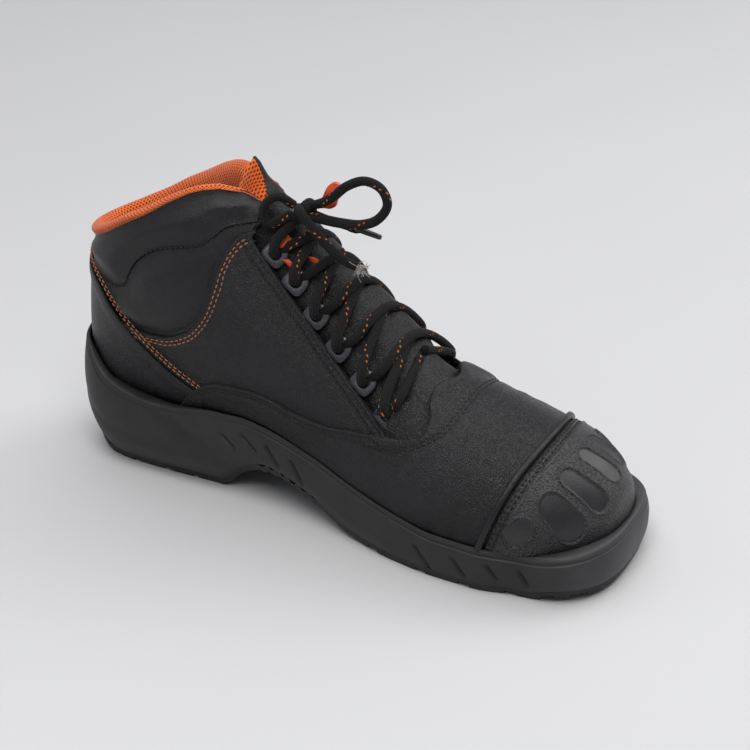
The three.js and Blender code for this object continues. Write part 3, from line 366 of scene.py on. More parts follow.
class Wardrobe:
    """All finishes, built once and looked up by name."""

    def __init__(self) -> None:
        """Build every material."""
        finishes = [
            Leather("leather_grained", (0.0065, 0.0065, 0.0076), (0.014, 0.014, 0.016), 1000.0, 0.4, 0.35),
            Leather("leather_soft", (0.0068, 0.0068, 0.0078), (0.014, 0.014, 0.016), 1100.0, 0.16, 0.36),
            # A much darker copy of the leather for the tongue: painted shade where the laces shade it.
            Leather("leather_tongue", (0.0015, 0.0015, 0.0018), (0.004, 0.004, 0.0046), 900.0, 0.25, 0.4),
            Moulded("scuff_rubber", (0.012, 0.012, 0.0135), (0.03, 0.03, 0.033), 1500.0, 0.8, 0.34, 0.6, 1.0),
            # The sole foam carries a painted highlight towards the toe.
            Moulded("sole_foam", (0.019, 0.019, 0.0198), (0.034, 0.034, 0.0355), 1500.0, 0.07, 0.5,
                    toe_highlight=0.75),
            Moulded("tread_rubber", (0.0155, 0.0155, 0.0165), (0.04, 0.04, 0.042), 1200.0, 0.1, 0.66),
            Moulded("smooth_rubber", (0.015, 0.015, 0.0165), (0.026, 0.026, 0.029), 900.0, 0.16, 0.4, 0.5),
            SpacerMesh("lining_mesh", (0.84, 0.135, 0.008), (0.2, 0.016, 0.001)),
            Braid("lace_cord", (0.0045, 0.0045, 0.005), (0.8, 0.2, 0.04)),
            Plain("orange_thread", (0.44, 0.15, 0.055), 0.7, sheen=0.2),
            Plain("black_thread", (0.0035, 0.0035, 0.004), 0.6),
            Plain("eyelet_plastic", (0.04, 0.04, 0.052), 0.3, coat=0.3, depth=0.04),
            Plain("tag_plastic", (0.87, 0.085, 0.012), 0.28, coat=0.4, grain=300.0, soft=0.2),
            Plain("insole_felt", (0.045, 0.045, 0.048), 0.95, sheen=0.3, depth=0.3),
            Plain("orange_webbing", (0.82, 0.09, 0.015), 0.6, sheen=0.2, grain=1400.0, depth=0.25),
            Plain("grey_felt", (0.19, 0.185, 0.18), 0.9, sheen=0.3, grain=1400.0, depth=0.3),
            Plain("lace_tip", (0.012, 0.012, 0.013), 0.3, coat=0.3, grain=500.0),
            Plain("pale_fibre", (0.42, 0.39, 0.36), 0.8, sheen=0.3),
            Plain("dark_lining", (0.012, 0.012, 0.013), 0.9, sheen=0.15, depth=0.3),
        ]
        self.made = {finish.name: finish.build() for finish in finishes}

    def __getitem__(self, name: str) -> bpy.types.Material:
        """Return a material by its name."""
        return self.made[name]


# Numbers to curves


class Column:
    """A shape-preserving cubic through the rows of a table."""

    def __init__(self, xs: Array, ys: Array) -> None:
        """Work out the slopes at the rows."""
        self.xs, self.ys = np.asarray(xs, float), np.asarray(ys, float)
        step = np.diff(self.xs)
        rise = np.diff(self.ys) / step
        slope = np.zeros(len(self.xs))
        for i in range(1, len(self.xs) - 1):
            if rise[i - 1] * rise[i] > 0:
                a, b = 2 * step[i] + step[i - 1], step[i] + 2 * step[i - 1]
                slope[i] = (a + b) / (a / rise[i - 1] + b / rise[i])
        slope[0] = self._end(step[0], step[1], rise[0], rise[1])
        slope[-1] = self._end(step[-1], step[-2], rise[-1], rise[-2])
        self.step, self.slope = step, slope

    @staticmethod
    def _end(step: float, second: float, rise: float, after: float) -> float:
        """Return the slope at an end row."""
        value = ((2 * step + second) * rise - step * after) / (step + second)
        if value * rise <= 0:
            return 0.0
        if rise * after < 0 and abs(value) > abs(3 * rise):
            return 3 * rise
        return value

    def __call__(self, x: Array) -> Array:
        """Return the curve's values at x."""
        x = np.clip(np.asarray(x, float), self.xs[0], self.xs[-1])
        i = np.clip(np.searchsorted(self.xs, x, side="left") - 1, 0, len(self.step) - 1)
        u = (x - self.xs[i]) / self.step[i]
        v = 1 - u
        return (self.ys[i] * v * v * (1 + 2 * u) + self.ys[i + 1] * u * u * (3 - 2 * u)
                + self.step[i] * u * v * (self.slope[i] * v - self.slope[i + 1] * u))


def rounded(points: Line, step: float = 0.02) -> Array:
    """Return a smooth line through points, with a small step between its own points.

    Args:
        points: rows of coordinates.
        step: share of the whole length between new points.

    Returns:
        The smooth line, one row for each point.
    """
    points = np.asarray(points, float)
    gap = np.linalg.norm(np.diff(points, axis=0), axis=1)
    at = np.concatenate([[0.0], np.cumsum(np.maximum(gap, 1e-9))])
    padded = np.vstack([2 * points[0] - points[1], points, 2 * points[-1] - points[-2]])
    new = np.linspace(0, at[-1], max(int(1 / step), len(points)) + 1)
    i = np.clip(np.searchsorted(at, new, side="right") - 1, 0, len(points) - 2)
    u = ((new - at[i]) / (at[i + 1] - at[i]))[:, None]
    a, b, c, d = padded[i], padded[i + 1], padded[i + 2], padded[i + 3]
    root = [np.maximum(np.linalg.norm(q - p, axis=1), 1e-6)[:, None] ** 0.5
            for p, q in ((a, b), (b, c), (c, d))]
    into = root[1] * ((b - a) / root[0] - (c - a) / (root[0] + root[1]) + (c - b) / root[1])
    out = root[1] * ((c - b) / root[1] - (d - b) / (root[1] + root[2]) + (d - c) / root[2])
    return ((2 * u**3 - 3 * u**2 + 1) * b + (u**3 - 2 * u**2 + u) * into
            + (-2 * u**3 + 3 * u**2) * c + (u**3 - u**2) * out)


def rounded_chart(points: Array, step: float) -> Array:
    """Return a smooth chart line through stations and places."""
    return rounded(points * CHART_MM, step) / CHART_MM


def travelled(points: Array) -> Array:
    """Return how far along a line each of its points lies."""
    gap = np.linalg.norm(np.diff(points, axis=0), axis=1)
    return np.concatenate([[0.0], np.cumsum(gap)])


def evenly(points: Array, carried: Array, step: float) -> Array:
    """Return rows of carried values at even distances along a line of points."""
    at = travelled(points)
    new = np.linspace(0, at[-1], max(int(round(at[-1] / step)), 1) + 1)
    return np.stack([np.interp(new, at, carried[:, k]) for k in range(carried.shape[1])], axis=1)


def nearest_distance(points: Array, samples: Array) -> Array:
    """Return each point's distance to a dense line of samples."""
    if len(samples) == 0:
        return np.full(len(points), 1e3)
    best = np.empty(len(points))
    for start in range(0, len(points), 2000):
        part = points[start:start + 2000]
        gap = part[:, None, :] - samples[None, :, :]
        best[start:start + 2000] = np.sqrt((gap**2).sum(2).min(1))
    return best


def smoothstep(x: Array) -> Array:
    """Return 0 below 0, 1 above 1 and a smooth rise between."""
    x = np.clip(x, 0, 1)
    return x * x * (3 - 2 * x)


def ripple(points: Array, size: float, seed: float = 0.0) -> Array:
    """Return a smooth wave between -1 and 1 that never repeats nearby, with features of a size in mm."""
    x, y, z = (points / size).T
    return (np.sin(x * 1.7 + y * 2.3 + seed) + np.sin(y * 1.9 - z * 2.1 + 1.3 * seed + 1)
            + np.sin(z * 2.7 + x * 1.1 + 0.7 * seed + 2)) / 3


# The two main forms


FORM_ROWS = (
    (0, 0.9751, 0.14, 0.9751, 0.165, 0.001, 0.001, -0.045, 0.5, 2, 2, 2),
    (0.02, 0.9701, 0.1161, 0.9684, 0.2516, 0.1261, 0.1081, -0.045, 0.46, 2.4, 2, 1.9),
    (0.06, 0.9518, 0.0968, 0.9452, 0.2968, 0.2342, 0.2072, -0.045, 0.42, 2.8, 2, 1.9),
    (0.12, 0.9169, 0.0774, 0.907, 0.3419, 0.3378, 0.3063, -0.036, 0.4, 3.2, 2.1, 1.9),
    (0.2, 0.8638, 0.0645, 0.8538, 0.3806, 0.4234, 0.3784, -0.027, 0.38, 3.6, 2.2, 1.8),
    (0.3, 0.7841, 0.0581, 0.7774, 0.4194, 0.464, 0.4144, -0.009, 0.36, 4, 2.2, 1.75),
    (0.4, 0.691, 0.0645, 0.6977, 0.471, 0.4505, 0.4234, -0.009, 0.36, 4, 2.1, 1.7),
    (0.5, 0.5847, 0.0968, 0.6113, 0.5677, 0.3964, 0.3964, -0.009, 0.345, 4, 2, 1.7),
    (0.58, 0.485, 0.1419, 0.5415, 0.6774, 0.3423, 0.3514, -0.009, 0.36, 3.6, 1.9, 1.75),
    (0.66, 0.3654, 0.1742, 0.4784, 0.7742, 0.3153, 0.3153, 0, 0.41, 3, 1.9, 1.8),
    (0.74, 0.1993, 0.1677, 0.4236, 0.8581, 0.3063, 0.3063, 0, 0.5, 2.8, 1.9, 1.9),
    (0.79, 0.0532, 0.1806, 0.3953, 0.9097, 0.3063, 0.3063, 0, 0.55, 2.6, 1.9, 1.9),
    (0.84, 0.0199, 0.3742, 0.3771, 0.9419, 0.3153, 0.3063, 0, 0.5, 2.3, 1.9, 1.9),
    (0.9, 0.0266, 0.5935, 0.3621, 0.9677, 0.2973, 0.2883, 0, 0.46, 2.2, 1.8, 1.8),
    (0.96, 0.0382, 0.7806, 0.3488, 0.9968, 0.2703, 0.2523, 0, 0.42, 2.1, 1.7, 1.7),
    (1, 0.0432, 0.9032, 0.3289, 1.1097, 0.2523, 0.2342, 0, 0.42, 2.1, 1.7, 1.7),
)
SOLE_ROWS = (
    (0, 0.3423, 0.3423, 0.1419, 0.4, 0.045), (0.0332, 0.3423, 0.3423, 0.0581, 0.3806, 0.0721),
    (0.0864, 0.3423, 0.3423, 0, 0.3, 0.0991), (0.1993, 0.3468, 0.3468, 0, 0.258, 0.0991),
    (0.3056, 0.3423, 0.3423, 0, 0.281, 0.0991), (0.3256, 0.3423, 0.3423, 0.0258, 0.2825, 0.0901),
    (0.3522, 0.3423, 0.3423, 0.0774, 0.2855, 0.0721), (0.4053, 0.3514, 0.3514, 0.1161, 0.274, 0.0541),
    (0.4983, 0.3874, 0.3784, 0.071, 0.234, 0.045), (0.5781, 0.4369, 0.4144, 0.0129, 0.192, 0.036),
    (0.6645, 0.491, 0.4595, 0, 0.16, 0.027), (0.7375, 0.5135, 0.482, 0, 0.139, 0.0225),
    (0.7973, 0.5135, 0.4865, 0, 0.137, 0.0225), (0.8704, 0.478, 0.457, 0, 0.1335, 0.0225),
    (0.9502, 0.491, 0.45, 0.018, 0.1516, 0.027), (1, 0.491, 0.45, 0.018, 0.17, 0.027),
)
WIDEST_LEVEL = 0.45


class FootForm:
    """The foot form as a smooth surface over a station and a place round it.

    The place is 0 at the top middle, minus one to zero on the near side, zero to one on the far
    side, and one at the bottom or back middle, where it starts again at minus one.
    """

    STATIONS = 480
    PLACES = 360

    def __init__(self) -> None:
        """Make a dense net of points and of outward directions."""
        rows = np.array(FORM_ROWS, float)
        self.columns = [Column(rows[:, 0], rows[:, k]) for k in range(1, 12)]
        stations = np.linspace(0, 1, self.STATIONS + 1)[:, None]
        places = np.linspace(-1, 1, self.PLACES + 1)[None, :-1]
        net = self.exact(stations, places)
        for _ in range(8):
            net = (np.roll(net, 1, 1) + 2 * net + np.roll(net, -1, 1)) / 4
        for _ in range(10):
            net[1:-1] = (net[:-2] + 2 * net[1:-1] + net[2:]) / 4
        self.net = net
        forward = np.gradient(net, axis=0)
        round_ = np.roll(net, -1, 1) - np.roll(net, 1, 1)
        out = np.cross(forward, round_)
        out /= np.linalg.norm(out, axis=2, keepdims=True) + 1e-12
        middle = out[self.STATIONS // 3, self.PLACES // 2]
        self.outward = out * (1 if middle[2] > 0 else -1)

    def exact(self, station: Array, place: Array) -> Array:
        """Return points of the form straight from the table."""
        station, place = np.broadcast_arrays(np.asarray(station, float), np.asarray(place, float))
        back_x, back_z, front_x, front_z, near, far, shift, split, low, near_top, far_top = (
            column(station) for column in self.columns)
        side = np.where(place < 0, -1.0, 1.0)
        up = np.clip(1 - np.abs(place), 0, 1)
        half = np.where(side < 0, near, far) * BALL_WIDTH
        below = up < 0.5
        angle = np.where(below, up, up - 0.5) * np.pi
        sine, cosine = np.clip(np.sin(angle), 0, 1), np.clip(np.cos(angle), 0, 1)
        power = 2 / np.where(below, low, np.where(side < 0, near_top, far_top))
        out = half * np.where(below, sine**power, cosine**power)
        along = np.where(below, split * (1 - cosine**power), split + (1 - split) * sine**power)
        return np.stack([
            (back_x + (front_x - back_x) * along) * SOLE_LENGTH,
            shift * BALL_WIDTH + side * out,
            (back_z + (front_z - back_z) * along) * COLLAR_HEIGHT,
        ], axis=-1)

    def _look(self, net: Array, station: Array, place: Array) -> Array:
        """Return values between the points of a net."""
        station, place = np.broadcast_arrays(np.asarray(station, float), np.asarray(place, float))
        s = np.clip(station, 0, 1) * self.STATIONS
        p = ((place + 1) / 2 % 1.0) * self.PLACES
        i = np.clip(np.floor(s).astype(int), 0, self.STATIONS - 1)
        j = np.floor(p).astype(int) % self.PLACES
        u, v = (s - i)[..., None], (p - np.floor(p))[..., None]
        k = (j + 1) % self.PLACES
        low = net[i, j] * (1 - v) + net[i, k] * v
        high = net[i + 1, j] * (1 - v) + net[i + 1, k] * v
        return low * (1 - u) + high * u

    def at(self, station: Array, place: Array, height: Array | float = 0.0) -> Array:
        """Return points at a height above the form."""
        out = self.normal(station, place)
        return self._look(self.net, station, place) + out * np.asarray(height, float)[..., None]

    def on(self, chart: Array, height: Array | float = 0.0) -> Array:
        """Return points over the rows of a chart line."""
        return self.at(chart[:, 0], chart[:, 1], height)

    def out(self, chart: Array) -> Array:
        """Return outward directions at the rows of a chart line."""
        return self.normal(chart[:, 0], chart[:, 1])

    def normal(self, station: Array, place: Array) -> Array:
        """Return outward directions."""
        out = self._look(self.outward, station, place)
        return out / (np.linalg.norm(out, axis=-1, keepdims=True) + 1e-12)

    def locate(self, line: Line) -> Array:
        """Return near stations and places of points seen from the side, as shares of length and height."""
        grid = np.linspace(0, 1, 1601)
        back_x, back_z, front_x, front_z, *_rest = (column(grid) for column in self.columns)
        found = []
        for x, z in line:
            rise_x, rise_z = (front_x - back_x) * SOLE_LENGTH, (front_z - back_z) * COLLAR_HEIGHT
            off_x, off_z = (x - back_x) * SOLE_LENGTH, (z - back_z) * COLLAR_HEIGHT
            cross = rise_x * off_z - rise_z * off_x
            length = rise_x**2 + rise_z**2 + 1e-9
            along = (rise_x * off_x + rise_z * off_z) / length
            flips = np.where((cross[:-1] * cross[1:] <= 0) & (along[:-1] > -0.3) & (along[:-1] < 1.3))[0]
            i = flips[-1] if len(flips) else int(np.argmin(np.abs(cross) / np.sqrt(length)))
            j = min(i + 1, 1600)
            share = 0.0 if cross[i] == cross[j] else cross[i] / (cross[i] - cross[j])
            share = min(max(share, 0.0), 1.0)
            station = grid[i] * (1 - share) + grid[j] * share
            part = min(max(along[i] * (1 - share) + along[j] * share, 0.0), 1.0)
            split, low, top = (float(self.columns[k](station)) for k in (7, 8, 9))
            if part <= split:
                up = math.acos(min(max(1 - part / split, 0.0), 1.0) ** (low / 2)) / math.pi
            else:
                up = 0.5 + math.asin(min((part - split) / (1 - split), 1.0) ** (top / 2)) / math.pi
            found.append((station, up - 1))
        return np.array(found)

    def closest(self, points: Line) -> Array:
        """Return stations and places of the net's points closest to points in mm."""
        found = []
        for point in np.asarray(points, float):
            gap = ((self.net - point) ** 2).sum(2)
            i, j = np.unravel_index(int(gap.argmin()), gap.shape)
            found.append((i / self.STATIONS, 2 * j / self.PLACES - 1))
        return np.array(found)

    def drop(self, points: Array, out: Array) -> Array:
        """Return stations and places under points that float above the form along a direction."""
        chart = self.closest(points)
        for _ in range(4):
            gap = points - self.on(chart)
            gap -= np.outer(gap @ out, out)
            steps = chart_steps(chart, np.cross(gap, self.out(chart)))
            chart = chart + steps * np.linalg.norm(gap, axis=1)[:, None]
        return chart

    def solve(self, test: Callable[[Array, Array], Array], place: Array, low: float, high: float) -> Array:
        """Return the stations between low and high where a rising test crosses zero, one for each place."""
        a, b = np.full(len(place), low), np.full(len(place), high)
        for _ in range(36):
            middle = (a + b) / 2
            over = test(middle, place) > 0
            a, b = np.where(over, a, middle), np.where(over, middle, b)
        return (a + b) / 2


class SoleForm:
    """The sole's outer surface over a share of its length, a level and a side."""

    HEEL, TOE, SWING = 0.133, 0.2, 0.0441
    HEEL_FULLNESS, TOE_FULLNESS = 2.2, 2.79

    def __init__(self) -> None:
        """Read the table."""
        rows = np.array(SOLE_ROWS, float)
        self.near, self.far, self.under, self.rim, self.tuck = (
            Column(rows[:, 0], rows[:, k]) for k in range(1, 6))

    def point(self, share: Array, level: Array, side: Array) -> Array:
        """Return points of the sole's side."""
        share, level, side = np.broadcast_arrays(*(np.asarray(v, float) for v in (share, level, side)))
        toe = np.maximum(0, (share - (1 - self.TOE)) / self.TOE)
        heel = np.maximum(0, 1 - share / self.HEEL)
        ends = (np.maximum(0, 1 - heel**self.HEEL_FULLNESS) ** (1 / self.HEEL_FULLNESS)
                * np.maximum(0, 1 - toe**self.TOE_FULLNESS) ** (1 / self.TOE_FULLNESS))
        inset = ((1 - np.minimum(level / WIDEST_LEVEL, 1)) ** 2 * self.tuck(share) * BALL_WIDTH
                 + np.maximum(0, (level - 0.55) / 0.45) ** 2 * 2.5)
        half = np.where(side < 0, self.near(share), self.far(share)) * BALL_WIDTH
        swing = -self.SWING * BALL_WIDTH * np.maximum(0, (share - 0.6645) / 0.3355) ** 2
        under, rim = self.under(share) * COLLAR_HEIGHT, self.rim(share) * COLLAR_HEIGHT
        return np.stack([
            share * SOLE_LENGTH + inset * (heel - toe),
            swing + side * np.maximum(0, (half - inset) * ends),
            under + (rim - under) * level,
        ], axis=-1)

    def rim_height(self, x: Array) -> Array:
        """Return the rim's height at lengths along the shoe, all in mm."""
        return self.rim(x / SOLE_LENGTH) * COLLAR_HEIGHT

    def round(self, count: int) -> tuple[Array, Array]:
        """Return shares and sides at even distances round the widest line, from the heel by the near side."""
        shares = (1 - np.cos(np.linspace(0, np.pi, 600))) / 2
        share = np.concatenate([shares, shares[-2:0:-1]])
        side = np.concatenate([-np.ones(600), np.ones(598)])
        points = self.point(share, WIDEST_LEVEL, side)
        at = travelled(np.vstack([points, points[:1]]))
        new = np.linspace(0, at[-1], count + 1)[:-1]
        full = np.append(share, share[0])
        picked = np.interp(new, at, full)
        return picked, np.where(new <= at[599], -1.0, 1.0)


FORM = FootForm()
SOLE = SoleForm()


class Placement:
    """Carries points in mm, as measured from the heel, to the row's frame in metres."""

    shift = np.zeros(3)

    @classmethod
    def set_from(cls, node: str) -> None:
        """Read the shift between the two frames from the midsole's box."""
        low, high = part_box(node)
        share, side = SOLE.round(1200)
        points = SOLE.point(share, WIDEST_LEVEL, side)
        cls.shift = np.array([
            (low.x + high.x) / 2 / MM - (points[:, 0].max() + points[:, 0].min()) / 2,
            (low.y + high.y) / 2 / MM - (points[:, 1].max() + points[:, 1].min()) / 2, 0.0])

    @classmethod
    def row(cls, points: Array) -> Array:
        """Return points in the row's frame, in metres."""
        return (np.asarray(points, float) + cls.shift) * MM


def add_piece(name: str, points: Array, faces: Sequence[Sequence[int]],
              materials: Sequence[bpy.types.Material],
              nodes: Sequence[str] = (), uv: Array | None = None,
              chosen: Array | None = None) -> bpy.types.Object:
    """Make a piece of the shoe and let it ride.

    Args:
        name: the piece's name.
        points: its points in mm.
        faces: its faces, as rows of point numbers.
        materials: its materials.
        nodes: the CAD nodes that it replaces.
        uv: a map for each point.
        chosen: a material number for each face.

    Returns:
        The new object.
    """
    mesh = bpy.data.meshes.new(name)
    mesh.from_pydata(Placement.row(points).tolist(), [], [list(map(int, face)) for face in faces])
    mesh.validate()
    for material in materials:
        mesh.materials.append(material)
    mesh.polygons.foreach_set("use_smooth", np.ones(len(mesh.polygons), bool))
    if uv is not None:
        layer = mesh.uv_layers.new(name="map")
        corner = np.empty(len(mesh.loops), np.int32)
        mesh.loops.foreach_get("vertex_index", corner)
        layer.data.foreach_set("uv", np.asarray(uv, np.float32)[corner].ravel())
    if chosen is not None and len(chosen) == len(mesh.polygons):
        mesh.polygons.foreach_set("material_index", np.asarray(chosen, np.int32))
    mesh.update()
    piece = bpy.data.objects.new(name, mesh)
    bpy.context.scene.collection.objects.link(piece)
    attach(piece, "root")
    if nodes:
        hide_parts(*nodes)
    LOG.info("%s: %d faces", name, len(mesh.polygons))
    return piece


def grid_faces(rows: int, columns: int, closed: bool = False) -> list[tuple[int, int, int, int]]:
    """Return the faces of a net of points, closed round its columns or open."""
    last = columns if closed else columns - 1
    return [(i * columns + j, i * columns + (j + 1) % columns, (i + 1) * columns + (j + 1) % columns,
             (i + 1) * columns + j) for i in range(rows - 1) for j in range(last)]


# Panels on the form


def chart_steps(chart: Array, ahead: Array) -> Array:
    """Return the steps of stations and places for one mm to the left of a line of chart points.

    Args:
        chart: stations and places of the line's points.
        ahead: the line's direction at each point, in space.

    Returns:
        One row of a station step and a place step for each point.
    """
    left = np.cross(FORM.out(chart), ahead)
    left /= np.linalg.norm(left, axis=1, keepdims=True) + 1e-9
    small = 1e-3
    ds = (FORM.at(chart[:, 0] + small, chart[:, 1]) - FORM.at(chart[:, 0] - small, chart[:, 1])) / (2 * small)
    dp = (FORM.at(chart[:, 0], chart[:, 1] + small) - FORM.at(chart[:, 0], chart[:, 1] - small)) / (2 * small)
    a, b, c = (ds * ds).sum(1), (ds * dp).sum(1), (dp * dp).sum(1)
    e, f = (ds * left).sum(1), (dp * left).sum(1)
    det = a * c - b * b + 1e-6
    return np.stack([(c * e - b * f) / det, (a * f - b * e) / det], 1)


def inside_outline(points: Array, outline: Array) -> Array:
    """Return which flat points lie inside a closed outline."""
    x, y = points[:, 0][:, None], points[:, 1][:, None]
    x0, y0 = outline[:, 0][None], outline[:, 1][None]
    x1, y1 = np.roll(outline[:, 0], -1)[None], np.roll(outline[:, 1], -1)[None]
    crosses = ((y0 > y) != (y1 > y)) & (x < (x1 - x0) * (y - y0) / (y1 - y0 + 1e-12) + x0)
    return crosses.sum(1) % 2 == 1


@dataclass
class Panel:
    """A piece of leather or rubber cut to an outline on the foot form.

    The outline is a list of lines of stations and places, each with whether its edge is free.
    """

    name: str
    slot: Slot
    materials: Sequence[bpy.types.Material]
    edges: Sequence[tuple[Array, bool]]
    base: float = 1.5
    lap: float = 0.0
    lap_width: float = 5.0
    edge_radius: float = 0.8
    foot: float = 0.2
    puff: float = 0.0
    puff_width: float = 7.0
    wave: float = 0.0
    spacing: float = 2.2
    rings: tuple[float, ...] = (0.3, 0.8, 1.6, 2.8, 4.2, 6.0)
    seams: list[Array] = field(default_factory=list)
    seam_depth: float = 0.55
    nodes: Sequence[str] = ()
    guides: Sequence[Array] = ()
    extra: Heights | None = None
    pick: Callable[[Array], Array] | None = None

    def __post_init__(self) -> None:
        """Measure the outline."""
        outline, free = [], []
        for line, is_free in self.edges:
            even = evenly(FORM.on(line), line, 1.15)
            outline.append(even[:-1])
            free.append(np.full(len(even) - 1, is_free))
        self.outline, self.free = np.vstack(outline), np.concatenate(free)
        self.rim = FORM.on(self.outline)
        count = len(self.outline)
        step = np.roll(self.rim, -1, 0)
        dense = [self.rim[i] * (1 - s) + step[i] * s
                 for s in (0, 0.25, 0.5, 0.75) for i in range(count) if self.free[i]]
        self.samples = np.array(dense) if dense else np.zeros((0, 3))
        self.all_samples = np.vstack([self.rim, (self.rim + step) / 2])
        self.seam_points = np.vstack([evenly(FORM.on(s), FORM.on(s), 0.5)
                                      for s in self.seams]) if self.seams else np.zeros((0, 3))

    def top(self, points: Array) -> Array:
        """Return the height of the piece's outer face over points of the form."""
        away = nearest_distance(points, self.samples)
        height = np.full(len(points), self.base)
        if self.lap:
            height += self.lap * (1 - smoothstep((away - self.lap_width * 0.6) / self.lap_width))
        if self.puff:
            rim = nearest_distance(points, self.all_samples)
            height += self.puff * (1 - np.exp(-((rim / self.puff_width) ** 2))) - 0.3
        if self.wave:
            height += self.wave * ripple(points, 16.0, len(self.name))
        if len(self.seam_points):
            gap = nearest_distance(points, self.seam_points)
            height -= self.seam_depth * np.exp(-((gap / 0.75) ** 2))
        if self.extra is not None:
            height += self.extra(points)
        inside = np.clip(1 - away / self.edge_radius, 0, 1)
        return height - self.edge_radius * (1 - np.sqrt(1 - inside**2 * 0.98))

    def _inward(self) -> Array:
        """Return steps of stations and places for one mm inward from each outline point."""
        steps = chart_steps(self.outline, np.roll(self.rim, -1, 0) - np.roll(self.rim, 1, 0))
        test = (self.outline + steps * 0.4) * CHART_MM
        return -steps if self._inside(test).mean() < 0.5 else steps

    def _inside(self, points: Array) -> Array:
        """Return which scaled chart points lie inside the outline."""
        return inside_outline(points, self.outline * CHART_MM)

    def build(self) -> bpy.types.Object:
        """Make the piece."""
        steps = self._inward()
        extras = []
        for ring in self.rings:
            moved = (self.outline + steps * ring)[self.free]
            away = nearest_distance(FORM.on(moved), self.samples)
            extras.append(moved[away > 0.93 * ring])
        for seam in self.seams:
            even = evenly(FORM.on(seam), seam, 1.3)
            ahead = np.gradient(even * CHART_MM, axis=0)
            across = np.stack([-ahead[:, 1], ahead[:, 0]], 1)
            across /= np.linalg.norm(ahead, axis=1, keepdims=True) + 1e-9
            for shift in (-0.9, 0.0, 0.9):
                extras.append(even + across * shift / CHART_MM)
        extras += list(self.guides)
        band = np.vstack(extras) if extras else np.zeros((0, 2))
        low, high = self.outline.min(0), self.outline.max(0)
        across = np.arange(low[1], high[1], self.spacing / ACROSS)
        stations = [low[0]]
        while stations[-1] < high[0]:
            pace = np.linalg.norm(FORM.at(min(stations[-1] + 0.002, 1), (low[1] + high[1]) / 2)
                                  - FORM.at(min(stations[-1] + 0.002, 1) - 0.002,
                                            (low[1] + high[1]) / 2)) / 0.002
            stations.append(stations[-1] + self.spacing / max(pace, 180.0))
        lattice = np.stack(np.meshgrid(stations, across, indexing="ij"), -1).reshape(-1, 2)
        lattice[::2, 1] += 0.3 * self.spacing / ACROSS
        keep = self._inside(lattice * CHART_MM)
        lattice = lattice[keep]
        points = FORM.on(lattice)
        clear = nearest_distance(points, self.all_samples) > 0.6 * self.spacing
        if len(self.samples):
            clear &= nearest_distance(points, self.samples) > self.rings[-1] + 0.4 * self.spacing
        if len(band):
            clear &= nearest_distance(points, FORM.on(band)) > 0.55 * self.spacing
        lattice = lattice[clear]
        if len(band):
            inside = self._inside(band * CHART_MM)
            band = band[inside]
            band = band[nearest_distance(FORM.on(band), self.all_samples) > 0.25]
            cell = np.round(FORM.on(band) / 0.22).astype(int)
            _found, first = np.unique(cell, axis=0, return_index=True)
            band = band[np.sort(first)]
        chart = np.vstack([self.outline, band, lattice])
        scaled = chart * CHART_MM
        count = len(self.outline)
        made = geometry.delaunay_2d_cdt([Vector(p) for p in scaled], [], [list(range(count))], 1, 1e-4)
        chart = np.array([tuple(v) for v in made[0]]) / CHART_MM
        faces = [list(face) for face in made[2]]
        origin = made[3]
        points = FORM.on(chart)
        height = self.top(points)
        top = FORM.on(chart, height)
        rank = {source: i for i, sources in enumerate(origin) for source in sources if source < count}
        rim = [i for i in range(count) if self.free[i] or self.free[i - 1]]
        foot_points = FORM.at(self.outline[rim, 0], self.outline[rim, 1], self.foot)
        number = {i: len(top) + k for k, i in enumerate(rim)}
        for i in range(count):
            j = (i + 1) % count
            if self.free[i] and i in number and j in number and i in rank and j in rank:
                faces.append([rank[i], rank[j], number[j], number[i]])
        all_points = np.vstack([top, foot_points])
        faces = self._turned(all_points, faces, np.vstack([FORM.out(chart),
                                                            FORM.normal(self.outline[rim, 0],
                                                                        self.outline[rim, 1])]))
        chosen = None
        if self.pick is not None:
            chosen = self.pick(np.array([all_points[face[:3]].mean(0) for face in faces]))
        return add_piece(self.name, all_points, faces, self.materials, self.nodes, chosen=chosen)

    @staticmethod
    def _turned(points: Array, faces: list[list[int]], out: Array) -> list[list[int]]:
        """Return the faces with each one facing outward."""
        turned = []
        for face in faces:
            a, b, c = points[face[0]], points[face[1]], points[face[2]]
            if len(face) == 3 and np.dot(np.cross(b - a, c - a), out[face[0]]) < 0:
                face = face[::-1]
            turned.append(face)
        return turned


def offset_line(line: Array, distance: float) -> Array:
    """Return a chart line moved sideways by a distance in mm, to its left as seen from outside."""
    even = evenly(FORM.on(line), line, 2.0)
    for _ in range(2):
        even[1:-1] = (even[:-2] + 2 * even[1:-1] + even[2:]) / 4
    return even + chart_steps(even, np.gradient(FORM.on(even), axis=0)) * distance


def mirror(line: Array) -> Array:
    """Return a chart line on the other side."""
    return line * (1, -1)


def sided(line: Array, side: Side) -> Array:
    """Return a near chart line as it runs on a side."""
    return line if side is Side.NEAR else mirror(line)


def behind(line: Array) -> Array:
    """Return a chart line with its near side counted on from the far side, across the back."""
    return np.stack([line[:, 0], np.where(line[:, 1] < 0, line[:, 1] + 2, line[:, 1])], 1)


